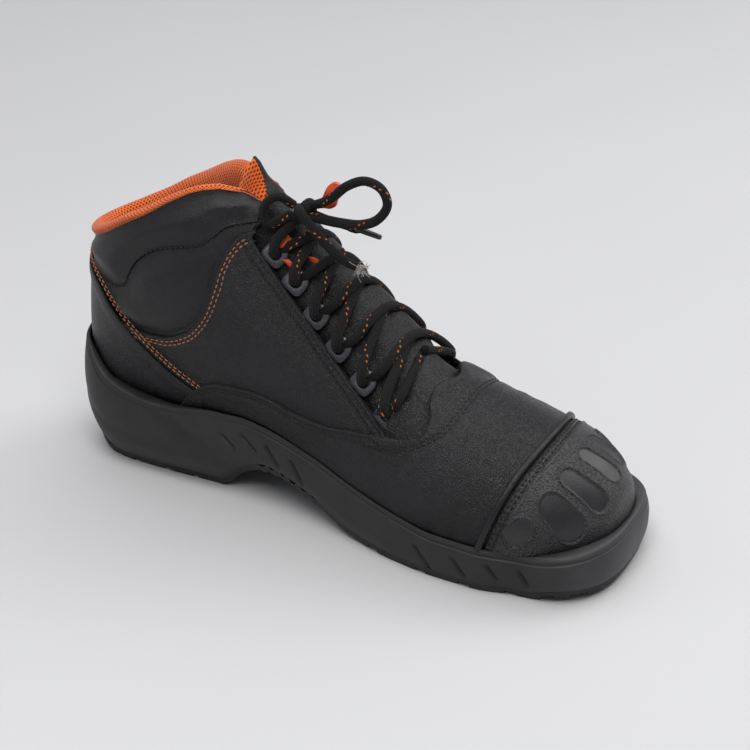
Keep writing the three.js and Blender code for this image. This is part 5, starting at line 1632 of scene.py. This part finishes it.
@dataclass
class Tongue:
    """The padded tongue: black leather outside, orange mesh inside."""

    finish: Wardrobe
    start: float = 0.385
    side_drop: float = 3.0
    far_swell: float = 4.5
    lining_sink: float = 6.5
    channel_depth: float = 0.6
    roughness: float = 0.3
    widths: tuple[tuple[float, float], ...] = ((0.385, 0.3), (0.43, 0.4), (0.5, 0.37), (0.6, 0.31),
                                               (0.7, 0.265),
                                               (0.8, 0.215), (0.86, 0.2), (1.0, 0.205))
    top_edge: tuple[tuple[float, float], ...] = (
        (-0.21, 0.93), (-0.14, 0.965), (-0.08, 0.982), (-0.03, 0.99), (0.015, 0.99), (0.055, 0.982),
        (0.085, 0.966), (0.11, 0.93), (0.14, 0.885), (0.21, 0.84))
    patches: tuple[tuple[float, float, float, float, float, str], ...] = (
        (0.7517, -0.125, 0.008, 0.03, 0.3, "orange_webbing"),
        (0.7225, -0.1671, 0.012, 0.009, -0.4, "orange_webbing"),
        (0.6917, -0.0907, 0.012, 0.011, -0.6, "orange_webbing"),
        (0.8075, 0.025, 0.016, 0.03, 0.2, "grey_felt"))
    turned: tuple[tuple[float, float], ...] = ((0.78, -0.4), (0.82, -0.12), (0.848, -0.071), (0.923, -0.05),
                                               (0.97, -0.026), (1.0, -0.02))
    depths: tuple[tuple[float, float], ...] = ((0.385, -4.4), (0.45, -4.6), (0.5, -4.2), (0.57, -3.2),
                                               (0.75, -3.2),
                                               (0.84, -3.0), (0.9, -2.0), (1.0, -1.4))

    def build(self) -> None:
        """Make the tongue as one padded slab that follows the form."""
        rows, columns = 120, 56
        share = np.linspace(0, 1, rows)[:, None]
        across = np.sin(np.linspace(-1, 1, columns)[None, :] * np.pi / 2)
        widths, top_edge, depths = (np.array(table) for table in (self.widths, self.top_edge, self.depths))
        end = np.interp(across * widths[-1, 1], top_edge[:, 0], top_edge[:, 1])
        station = self.start + (end - self.start) * share
        place = across * np.interp(station, widths[:, 0], widths[:, 1])
        middle = np.interp(station, depths[:, 0], depths[:, 1])
        middle -= self.side_drop * smoothstep((np.abs(place) - 0.05) / 0.14)
        middle += self.far_swell * np.exp(-(((place - 0.13) / 0.09) ** 2)) * smoothstep((station - 0.46) / 0.05) * smoothstep(
            (0.82 - station) / 0.06)
        turned = np.array(self.turned)
        past = np.interp(station, turned[:, 0], turned[:, 1]) - place
        middle -= self.lining_sink * smoothstep(past / 0.11)
        edge = np.sqrt(np.clip(1 - np.abs(across) ** 5, 0, 1)) * np.sqrt(np.clip(1 - share**26, 0, 1))
        channel = self.channel_depth * np.exp(-((np.abs(across) - 0.52) / 0.06) ** 2)
        half_thick = np.interp(share, [0, 0.7, 0.85, 1.0], [3.0, 3.2, 4.0, 3.4])
        rough = self.roughness * ripple(FORM.at(station, place).reshape(-1, 3), 9.0, 2.0).reshape(rows, columns)
        outer = FORM.at(station, place, middle + (half_thick - channel * (share < 0.85) + rough) * edge)
        inner = FORM.at(station, place, middle - (half_thick * 0.8 + 0.5 * rough) * edge)
        top = np.vstack([outer.reshape(-1, 3), inner.reshape(-1, 3)])
        count = rows * columns
        faces = grid_faces(rows, columns)
        under = [tuple(count + v for v in reversed(face)) for face in faces]
        rims = []
        leather = []
        for i in range(rows - 1):
            for j, flip in ((0, False), (columns - 1, True)):
                a, b = i * columns + j, (i + 1) * columns + j
                rims.append((a, b, count + b, count + a) if not flip else (b, a, count + a, count + b))
        for j in range(columns - 1):
            a, b = (rows - 1) * columns + j, (rows - 1) * columns + j + 1
            (rims if j < columns * 0.46 else leather).append((b, a, count + a, count + b))
            rims.append((j, j + 1, count + j + 1, count + j))
        gap = travelled(outer[:, columns // 2])
        maps = np.stack([np.broadcast_to(gap[:, None], (rows, columns)), place * 110.0], -1).reshape(-1, 2)
        inside = past.ravel()
        shown = [int(min(inside[v] for v in face) > 0) for face in faces]
        chosen = np.array(shown + [0] * len(leather) + [1] * (len(under) + len(rims)))
        # The tongue's outside uses the darker leather, painted shade under the laces.
        piece = add_piece("tongue_padded", top, faces + leather + under + rims,
                          [self.finish["leather_tongue"], self.finish["lining_mesh"]], ["tongue"],
                          uv=np.vstack([maps, maps]), chosen=chosen)
        self.keepers()

    def keepers(self) -> None:
        """Sew the orange webbing that keeps the lace in place, and a grey scrap above it, to the tongue."""
        u, v = np.meshgrid(np.linspace(-1, 1, 11), np.linspace(-1, 1, 11), indexing="ij")
        dome = 1 - np.maximum(np.abs(u), np.abs(v)) ** 4
        for number, (station, place, half, wide, slant, material) in enumerate(self.patches, 1):
            t = station + half * (u + slant * v)
            a = place + wide * v
            points = FORM.at(t, a, -0.8 + 2.2 * dome + 0.3 * np.sin(u * 5) * dome).reshape(-1, 3)
            add_piece(f"tongue_keeper_{number}", points, grid_faces(11, 11), [self.finish[material]])


@dataclass
class Eyelets:
    """Twelve flat plastic loops under the edges of the throat."""

    finish: Wardrobe
    half: float = 5.9
    reach: float = 5.9
    tail: float = 5.5
    hole: float = 2.5

    def frame(self, index: int, side: Side) -> tuple[Array, Array, Array, Array]:
        """Return the middle, the outward, edge and inward directions of one loop."""
        station, up = EYELET_PLACES[index]
        place = side.value * (1 - up)
        middle, out = FORM.at(station, place), FORM.normal(station, place)
        edge = FORM.at(station + 0.02, place) - FORM.at(station - 0.02, place)
        edge -= out * edge.dot(out)
        edge /= np.linalg.norm(edge)
        inward = np.cross(edge, out)
        if inward[1] * side.value > 0:
            inward = -inward
        return middle, out, edge, inward

    def build(self) -> None:
        """Make all loops."""
        count = 40
        angle = np.linspace(0, 2 * np.pi, count, endpoint=False)
        for side in Side:
            for index in range(len(EYELET_PLACES)):
                middle, out, edge, inward = self.frame(index, side)
                x = np.cos(angle)
                y = np.sin(angle)
                outer_x = self.half * np.sign(x) * np.abs(x) ** np.where(y < 0, 0.45, 0.8)
                outer_y = np.where(y > 0, self.reach * y, -self.tail * np.abs(y) ** 0.5)
                inner_x, inner_y = self.hole * x, self.hole * y
                rings = []
                for share, height in ((0.0, -0.95), (0.0, 0.15), (0.07, 0.45), (0.4, 0.5), (0.75, 0.62),
                                      (0.93, 0.5), (1.0, 0.1), (1.0, -0.9)):
                    px = outer_x * (1 - share) + inner_x * share
                    py = outer_y * (1 - share) + inner_y * share
                    rings.append(middle + np.outer(px, edge) + np.outer(py, inward) + out * (height - 1.0))
                rings.append(rings[0])
                points = np.vstack(rings[:-1])
                faces = grid_faces(len(rings) - 1, count, True)
                last = (len(rings) - 2) * count
                faces += [(last + j, last + (j + 1) % count, (j + 1) % count, j) for j in range(count)]
                if side is Side.FAR:
                    faces = [face[::-1] for face in faces]
                name = f"eyelet_{side.name.lower()}_{index + 1}"
                add_piece(f"{name}_loop", points, faces, [self.finish["eyelet_plastic"]], [name])


BOW = (0.421 * SOLE_LENGTH, -0.03 * BALL_WIDTH, 0.936 * COLLAR_HEIGHT)
LARGE_LOOP = ((3.5, -0.5, 2.8), (10, -2.2, 5.6), (17, -3.6, 10), (26, -5, 18), (36, -6, 22.5), (44, -6, 20),
              (47, -6, 13), (42, -6, 5), (33, -5.4, 0.5), (22, -4.8, -0.8), (13, -4.2, -1), (4, -3, -1.2))
SMALL_LOOP = ((-3, -3.5, 3), (-8, -8.5, 8), (-12.2, -11.5, 6), (-14, -13, 0), (-12.4, -12.6, -4.6),
              (-8, -8.6, -4), (-3, -4.4, -1))
FIRST_END = ((-1.5, 1.6, -1.2), (3.4, 2.8, -2.6), (10, 3.4, -4.2), (17, 2.6, -4.4), (28, 1.4, -5))
TIP = ((24, 1.8, -4.8), (28, 1.4, -5), (34, 0.9, -5.7), (40.5, 0.5, -6.5))
SECOND_END = ((1, -5.4, 2.4), (3.6, -9.6, 3.2), (9, -10.6, -1.8), (17, -10.4, -9.6), (25, -9.6, -16),
              (33, -9, -19))


def tube(path: Array, radius: Array | float, sides: int = 16, flat: float = 1.0,
         up: Array | None = None) -> tuple[Array, list[tuple[int, ...]], Array]:
    """Return points, faces and map of a tube along a path.

    Args:
        path: the middle line in mm.
        radius: one radius or one for each path point.
        sides: how many points round.
        flat: thickness as a share of the width.
        up: the direction of the first flat side.

    Returns:
        The points, the faces with both ends closed, and millimetres along and turns round.
    """
    count = len(path)
    radius = np.broadcast_to(np.asarray(radius, float), (count,))
    ahead = np.gradient(path, axis=0)
    ahead /= np.linalg.norm(ahead, axis=1, keepdims=True) + 1e-9
    across = np.asarray(up if up is not None else (0.2, 0.3, 1.0), float)
    gap = travelled(path)
    points, maps = [], []
    for i in range(count):
        across = across - ahead[i] * across.dot(ahead[i])
        across /= np.linalg.norm(across) + 1e-9
        other = np.cross(ahead[i], across)
        for k in range(sides + 1):
            angle = 2 * math.pi * k / sides
            points.append(path[i] + radius[i] * (other * math.cos(angle) + across * flat * math.sin(angle)))
            maps.append((gap[i], k / sides))
    faces: list[tuple[int, ...]] = grid_faces(count, sides + 1)
    faces.append(tuple(range(sides - 1, -1, -1)))
    faces.append(tuple((count - 1) * (sides + 1) + k for k in range(sides)))
    return np.array(points), faces, np.array(maps)


@dataclass
class Lacing:
    """The lace through the eyelets, and the bow with its ends."""

    finish: Wardrobe
    eyelets: Eyelets
    radius: float = LACE

    def _cord(self, name: str, path: Array, nodes: Sequence[str] = ()) -> bpy.types.Object:
        """Args:
            name: the piece's name.
            path: its middle line in mm.
            nodes: the CAD nodes it replaces.

        Returns:
            The piece.
        """
        path = evenly(path, path, 1.1)
        points, faces, maps = tube(path, self.radius, 16, 0.86)
        piece = add_piece(name, points, faces, [self.finish["lace_cord"]], nodes, uv=maps)
        row = Placement.row(path)
        return piece

    def _strand(self, first: Side, high_first: bool) -> Array:
        """Return the path of one half of the lace, from the bow down to the middle of the lowest bar."""
        top = len(EYELET_PLACES) - 1
        side = first
        knot = np.array(BOW) + (-1.5, 2.2 * first.value, -3.6)
        path = [knot]
        high = high_first
        for index in range(top, -1, -1):
            middle, out, edge, inward = self.eyelets.frame(index, side)
            up = -edge if edge[0] > 0 else edge
            path.append(middle + out * 3.6 + inward * 3.2 + up * 3.4)
            path.append(middle + out * 3.0 + inward * 0.2 + up * 0.8)
            path.append(middle - out * 1.2)
            path.append(middle - out * 2.4 + inward * 3.2 - up * 0.6)
            if index > 0:
                path.append(middle - out * 0.1 + inward * 7.4 - up * 2.0)
                station = (EYELET_PLACES[index][0] + EYELET_PLACES[index - 1][0]) / 2
                rise = 3.2 if high else 0.7
                path.append(FORM.at(station, 0.0) + FORM.normal(station, 0.0) * rise)
                side = side.other
                high = not high
            else:
                path.append(middle - out * 0.4 + inward * 8.0)
                station = EYELET_PLACES[0][0]
                path.append(FORM.at(station, 0.0) + FORM.normal(station, 0.0) * 0.6)
        return rounded(path, 0.004)

    def build(self) -> None:
        """Lace the shoe and tie the bow."""
        first = self._strand(Side.NEAR, True)
        second = self._strand(Side.FAR, False)
        self._cord("lace_from_near_top", first, ["lace_crossings"])
        self._cord("lace_from_far_top", second[:-3])
        bow = np.array(BOW)
        self.knot(bow)
        self._cord("bow_large_loop", rounded(np.array(LARGE_LOOP) + bow, 0.01),
                   ["lace_loop_large"])
        self._cord("bow_small_loop", rounded(np.array(SMALL_LOOP) + bow, 0.02),
                   ["lace_loop_small"])
        tip = self.tip(bow)
        fray = self.fray(bow)
        self._cord("lace_end_with_tip", rounded(np.array(FIRST_END) + bow, 0.02),
                   ["lace_end_tipped"])
        self._cord("lace_end_with_fray", rounded(np.array(SECOND_END) + bow, 0.02),
                   ["lace_end_frayed"])
        self.tag(bow)

    def knot(self, bow: Array) -> None:
        """Wrap the knot out of two turns of lace."""
        loops = []
        for tilt, size, shift in ((0.35, 4.6, -1.0), (-0.5, 4.2, 1.4)):
            angle = np.linspace(0.0, 2 * np.pi, 40)
            ring = np.stack([shift + size * 0.72 * np.sin(angle) * math.cos(tilt) + 0.5 * angle / 3,
                             size * 1.15 * np.cos(angle), size * np.sin(angle) * math.cos(tilt) - 0.6], 1)
            loops.append(ring + bow)
        loops.append(rounded([(-4.5, 3.5, -1.0), (-1.0, 0.5, 0.4), (3.0, -2.0, 1.6), (6.0, -3.0, 2.4)],
                             0.05) + bow)
        points, faces, maps, count = [], [], [], 0
        for loop in loops:
            p, f, m = tube(loop, self.radius * 0.98, 14, 0.8)
            points.append(p)
            maps.append(m)
            faces.extend(tuple(count + v for v in face) for face in f)
            count += len(p)
        add_piece("bow_knot", np.vstack(points), faces, [self.finish["lace_cord"]], ["lace_knot"],
                  uv=np.vstack(maps))

    def tip(self, bow: Array) -> bpy.types.Object:
        """Make the narrow hard tip of one end."""
        path = rounded(np.array(TIP) + bow, 0.05)
        size = np.interp(np.linspace(0, 1, len(path)), [0, 0.22, 0.34, 0.94, 1], [2.4, 2.4, 1.5, 1.3, 1.0])
        points, faces, _maps = tube(path, size, 16)
        return add_piece("lace_tip", points, faces, [self.finish["lace_tip"]])

    def fray(self, bow: Array) -> bpy.types.Object:
        """Make the loose fibres of the other end."""
        draw = np.random.default_rng(7)
        root = np.array(SECOND_END[-1]) + bow
        ahead = np.array(SECOND_END[-1]) - np.array(SECOND_END[-2])
        ahead = ahead / np.linalg.norm(ahead)
        points, faces, count = [], [], 0
        for _ in range(46):
            turn = draw.normal(size=3)
            start = root + draw.normal(size=3) * 0.8 - ahead * 1.5
            path = rounded([start, start + ahead * 2 + turn * 0.5, start + ahead * 3.6 + turn * 1.5
                            + draw.normal(size=3) * 0.6,
                            start + ahead * 4.2 + turn * 2.4 + draw.normal(size=3)], 0.12)
            p, f, _m = tube(path, 0.16, 5)
            points.append(p)
            faces.extend(tuple(count + v for v in face) for face in f)
            count += len(p)
        return add_piece("lace_fray", np.vstack(points), faces, [self.finish["pale_fibre"]])

    def tag(self, bow: Array) -> None:
        """Make the small orange plastic tag on the bow."""
        outline = rounded([(3.6, 1.6), (8, 5.6), (9.5, 8.4), (11.6, 12.6), (15.4, 15.4), (18.8, 14),
                           (19.8, 10.4),
                           (17, 7.4), (15.8, 3.6), (12.6, 1.6), (9.6, 1.4), (4.4, 0.4), (3.6, 1.6)],
                           0.02)[:-1]
        middle = outline.mean(0)
        rings = []
        for shrink, depth in ((0.9, 2.3), (0.97, 2.45), (1.0, 2.8), (1.0, 3.7), (0.97, 4.1), (0.88, 4.25)):
            flat = middle + (outline - middle) * shrink
            rings.append(np.stack([flat[:, 0], np.full(len(flat), depth), flat[:, 1]], 1) + bow)
        count = len(outline)
        points = np.vstack(rings)
        faces: list[tuple[int, ...]] = grid_faces(len(rings), count, True)
        faces.append(tuple(range(count - 1, -1, -1)))
        faces.append(tuple((len(rings) - 1) * count + k for k in range(count)))
        add_piece("bow_tag_orange", points, faces, [self.finish["tag_plastic"]], ["bow_tag"])


SIDE_CUTS = ((0.35, 0.47, 0.69, -9.4), (0.393, 0.42, 0.75, -10.8), (0.434, 0.3, 0.765, -8.7),
             (0.482, 0.28, 0.78, -8.4), (0.73, 0.165, 0.69, -9.6), (0.79, 0.23, 0.685, -8.4),
             (0.841, 0.3, 0.75, -6.8), (0.888, 0.27, 0.72, -6.8))
CUT_DEPTH = 1.6
EDGE_GAPS = (0.136, 0.197, 0.253, 0.62, 0.7115, 0.7855, 0.858, 0.914, 0.955)
CROSS_GAPS = (0.148, 0.22, 0.66, 0.742, 0.817, 0.884)


@dataclass
class Sole:
    """The foam side wall with its lip and cuts, and the tread below it."""

    finish: Wardrobe
    columns: int = 1240
    rows: int = 58
    notch_depth: float = 1.8
    rib_height: float = 1.2
    rib_pitch: float = 6.2
    sharp_angle: float = 35.0

    def wall(self) -> None:
        """Make the side wall, the lip that meets the upper and the shelf inside."""
        share, side = SOLE.round(self.columns)
        under = SOLE.under(share) * COLLAR_HEIGHT
        rim = SOLE.rim(share) * COLLAR_HEIGHT
        low = np.minimum(under + TREAD - 0.1, rim - 2)
        rings = []
        for r in np.linspace(0, 1, self.rows):
            z = low + (rim - low) * r
            rings.append(SOLE.point(share, (z - under) / (rim - under), side))
        net = np.stack(rings, 0)
        around = np.roll(net, -1, 1) - np.roll(net, 1, 1)
        upward = np.gradient(net, axis=0)
        out = np.cross(around, upward)
        out /= np.linalg.norm(out, axis=2, keepdims=True) + 1e-9
        if out[self.rows // 2, self.columns // 4, 1] > 0:
            out = -out
        depth = self._relief(net, rim)
        net = net + out * depth[..., None]
        lip = self._shelf(net[-1], side)
        full = np.concatenate([net, lip], 0)
        faces = grid_faces(len(full), self.columns, True)
        add_piece("midsole_wall", full.reshape(-1, 3), faces, [self.finish["sole_foam"]],
                  ["midsole"])

    @staticmethod
    def _relief(net: Array, rim: Array) -> Array:
        """Return how far the wall stands out: lip groove, slanted cuts and soft heel folds."""
        x, z = net[..., 0], net[..., 2]
        depth = -0.55 * np.exp(-(((rim[None, :] - 2.3 - z) / 0.5) ** 2))
        depth += 0.25 * np.exp(-(((rim[None, :] - 1.0 - z) / 0.8) ** 2))
        for at, low, high, lean in SIDE_CUTS:
            under = float(SOLE.under(at)) * COLLAR_HEIGHT
            rise = float(SOLE.rim(at)) * COLLAR_HEIGHT - under
            foot = np.array([at * SOLE_LENGTH, under + rise * low])
            head = np.array([at * SOLE_LENGTH + lean, under + rise * high])
            along = head - foot
            long = np.linalg.norm(along)
            along /= long
            a = (x - foot[0]) * along[0] + (z - foot[1]) * along[1]
            b = (x - foot[0]) * along[1] - (z - foot[1]) * along[0]
            ends = smoothstep((a + 1.0) / 4) * smoothstep((long + 1.0 - a) / 4)
            wedge = np.where(b < 0, smoothstep(1 + b / 0.5), np.clip(1 - b / 2.3, 0, 1))
            depth -= CUT_DEPTH * wedge * ends
        for line, wide, deep, fade_x in (
                (((60, 42), (68, 36), (78, 30), (90, 24), (102, 17)), 3.2, 0.9, 112),
                (((50, 41), (58, 33), (68, 26), (80, 19)), 4.5, -0.5, 100),
                (((4, 36), (14, 28), (30, 22), (50, 19), (66, 19)), 2.6, 0.35, 80)):
            gap = np.full(x.shape, 1e3)
            for px, pz in rounded(line, 0.03):
                gap = np.minimum(gap, np.hypot(x - px, z - pz))
            depth -= deep * np.exp(-((gap / wide) ** 2)) * smoothstep((fade_x - x) / 30)
        return depth

    @staticmethod
    def _shelf(top: Array, side: Array) -> Array:
        """Return the rings from the wall's top inward and down beside the upper."""
        near = Outlines.rim_line(Side.NEAR, 0.0)[::-1]
        loop = np.vstack([near, Outlines.rim_line(Side.FAR, 0.0)[1:-1]])
        edge = FORM.on(loop, 2.6)
        near_count = len(near)
        shelf = np.empty_like(top)
        for sign, start, stop in ((-1.0, 0, near_count), (1.0, near_count - 1, len(loop) + 1)):
            part = np.vstack([edge, edge[:1]])[start:stop]
            mask = side == sign
            outer = top[mask]
            gap = travelled(outer)
            own = travelled(part)
            want = gap / (gap[-1] + 1e-9) * own[-1]
            shelf[mask] = np.stack([np.interp(want, own, part[:, k]) for k in range(3)], 1)
        shelf[:, 2] = top[:, 2]
        rings = []
        for part, rise in ((0.12, 0.35), (0.35, 0.55), (0.7, 0.4), (0.95, -0.1), (1.0, -0.9), (1.03, -2.6)):
            ring = top * (1 - part) + shelf * part
            ring[:, 2] = top[:, 2] + rise
            rings.append(ring)
        return np.stack(rings, 0)

    def tread(self) -> None:
        """Cut the lugs out of the tread layer."""
        share, side = SOLE.round(420)
        plan = SOLE.point(share, 0.06, side)[:, :2]
        rise = (SOLE.rim(share) - SOLE.under(share)) * COLLAR_HEIGHT
        flare = SOLE.point(share, TREAD / rise, side)[:, :2] - plan
        cuts = []
        for at in EDGE_GAPS:
            x, half = at * SOLE_LENGTH, 1.8 if at < 0.3 else 2.8
            reach = 0.7 * float(SOLE.near(at)) * BALL_WIDTH - float(SOLE.tuck(at)) * BALL_WIDTH * 0.5
            cuts += [(x - half, x + half, -90, -reach), (x - half, x + half, reach, 90)]
        for at in CROSS_GAPS:
            x = at * SOLE_LENGTH
            reach = 0.5 * float(SOLE.near(at)) * BALL_WIDTH
            cuts.append((x - 2, x + 2, -reach, reach))
        points = [tuple(p) for p in plan]
        edges = []
        for x0, x1, y0, y1 in cuts:
            base = len(points)
            points += [(x0, y0), (x1, y0), (x1, y1), (x0, y1)]
            edges += [(base, base + 1), (base + 1, base + 2), (base + 2, base + 3), (base + 3, base)]
        lattice = [(x, y) for x in (*np.arange(2, 110, 4.0), *np.arange(110, 158, 0.9),
                                    *np.arange(160, 300, 4.0))
                   for y in np.arange(-54, 55, 6.0)]
        points += lattice
        made = geometry.delaunay_2d_cdt([Vector(p) for p in points], edges, [list(range(len(plan)))], 1, 1e-3)
        flat = np.array([tuple(v) for v in made[0]])
        faces = [list(face) for face in made[2]]
        middles = np.array([flat[face].mean(0) for face in faces])
        kept = inside_outline(middles, plan)
        faces = [face for face, keep in zip(faces, kept) if keep]
        middles = middles[kept]
        groove = np.zeros(len(faces), bool)
        for x0, x1, y0, y1 in cuts:
            groove |= ((middles[:, 0] > x0) & (middles[:, 0] < x1) & (middles[:, 1] > y0) & (middles[:,
                                                                                                     1] < y1))
        part = np.clip(flat[:, 0] / SOLE_LENGTH, 0, 1)
        under = SOLE.under(part) * COLLAR_HEIGHT
        wide = np.abs(flat[:, 1]) / (SOLE.near(part) * BALL_WIDTH)
        under = under + 0.6 * smoothstep((wide - 0.93) / 0.12)
        arch = smoothstep((flat[:, 0] - 112) / 8) * smoothstep((156 - flat[:, 0]) / 8)
        under = under - self.rib_height * arch * smoothstep(np.sin(flat[:, 0] * 2 * np.pi / self.rib_pitch) * 1.6)
        gap = np.hypot(flat[:, :1] - plan[:, 0][None], flat[:, 1:] - plan[:, 1][None])
        shift = flare[gap.argmin(1)] * (gap.min(1) < 1.4)[:, None]
        low = np.column_stack([flat, under])
        deep = np.column_stack([flat + 0.45 * shift, under + self.notch_depth])
        high = np.column_stack([flat + shift, under + TREAD])
        count = len(flat)
        all_points = np.vstack([low, deep, high])
        built: list[tuple[int, ...]] = []
        owner: dict[tuple[int, int], list[int]] = {}
        for k, face in enumerate(faces):
            base = count if groove[k] else 0
            built.append(tuple(base + v for v in reversed(face)))
            for a, b in zip(face, face[1:] + face[:1]):
                owner.setdefault((min(a, b), max(a, b)), []).append(k)
                if len(owner[(min(a, b), max(a, b))]) == 1:
                    owner[(min(a, b), max(a, b))] += [-1, a, b]
        for (a, b), found in owner.items():
            kinds = [k for k in (found[0], *found[4:]) if k >= 0]
            one = found[2], found[3]
            if len(kinds) == 1:
                base = count if groove[kinds[0]] else 0
                built.append((base + one[0], base + one[1], 2 * count + one[1], 2 * count + one[0]))
            elif groove[kinds[0]] != groove[kinds[1]]:
                first, second = one if not groove[kinds[0]] else one[::-1]
                built.append((first, second, count + second, count + first))
        used, order = np.unique(np.concatenate([np.array(face) for face in built]), return_inverse=True)
        ends = np.cumsum([len(face) for face in built])[:-1]
        built = [tuple(int(v) for v in face) for face in np.split(order.ravel(), ends)]
        piece = add_piece("outsole_tread", all_points[used], built, [self.finish["tread_rubber"]],
                          ["outsole"])
        piece.data.set_sharp_from_angle(angle=math.radians(self.sharp_angle))

    def build(self) -> None:
        """Make the wall and the tread."""
        self.wall()
        self.tread()


def main() -> None:
    """Build the camera, the laces and every sub-assembly, in order."""
    logging.basicConfig(level=logging.INFO, format="%(message)s")
    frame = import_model()
    Placement.set_from("midsole")
    studio = Studio()
    studio.camera()
    finish = Wardrobe()
    eyelets = Eyelets(finish)
    Lacing(finish, eyelets).build()
    eyelets.build()
    lines = Outlines()
    Uppers(lines, finish).build()
    Collar(lines, finish).build()
    Tongue(finish).build()
    Sole(finish).build()
    insole = frame["nodes"]["insole"]
    insole.data.materials.clear()
    insole.data.materials.append(finish["insole_felt"])
    studio.lights()
    studio.stage()


if __name__ == "__main__":
    main()
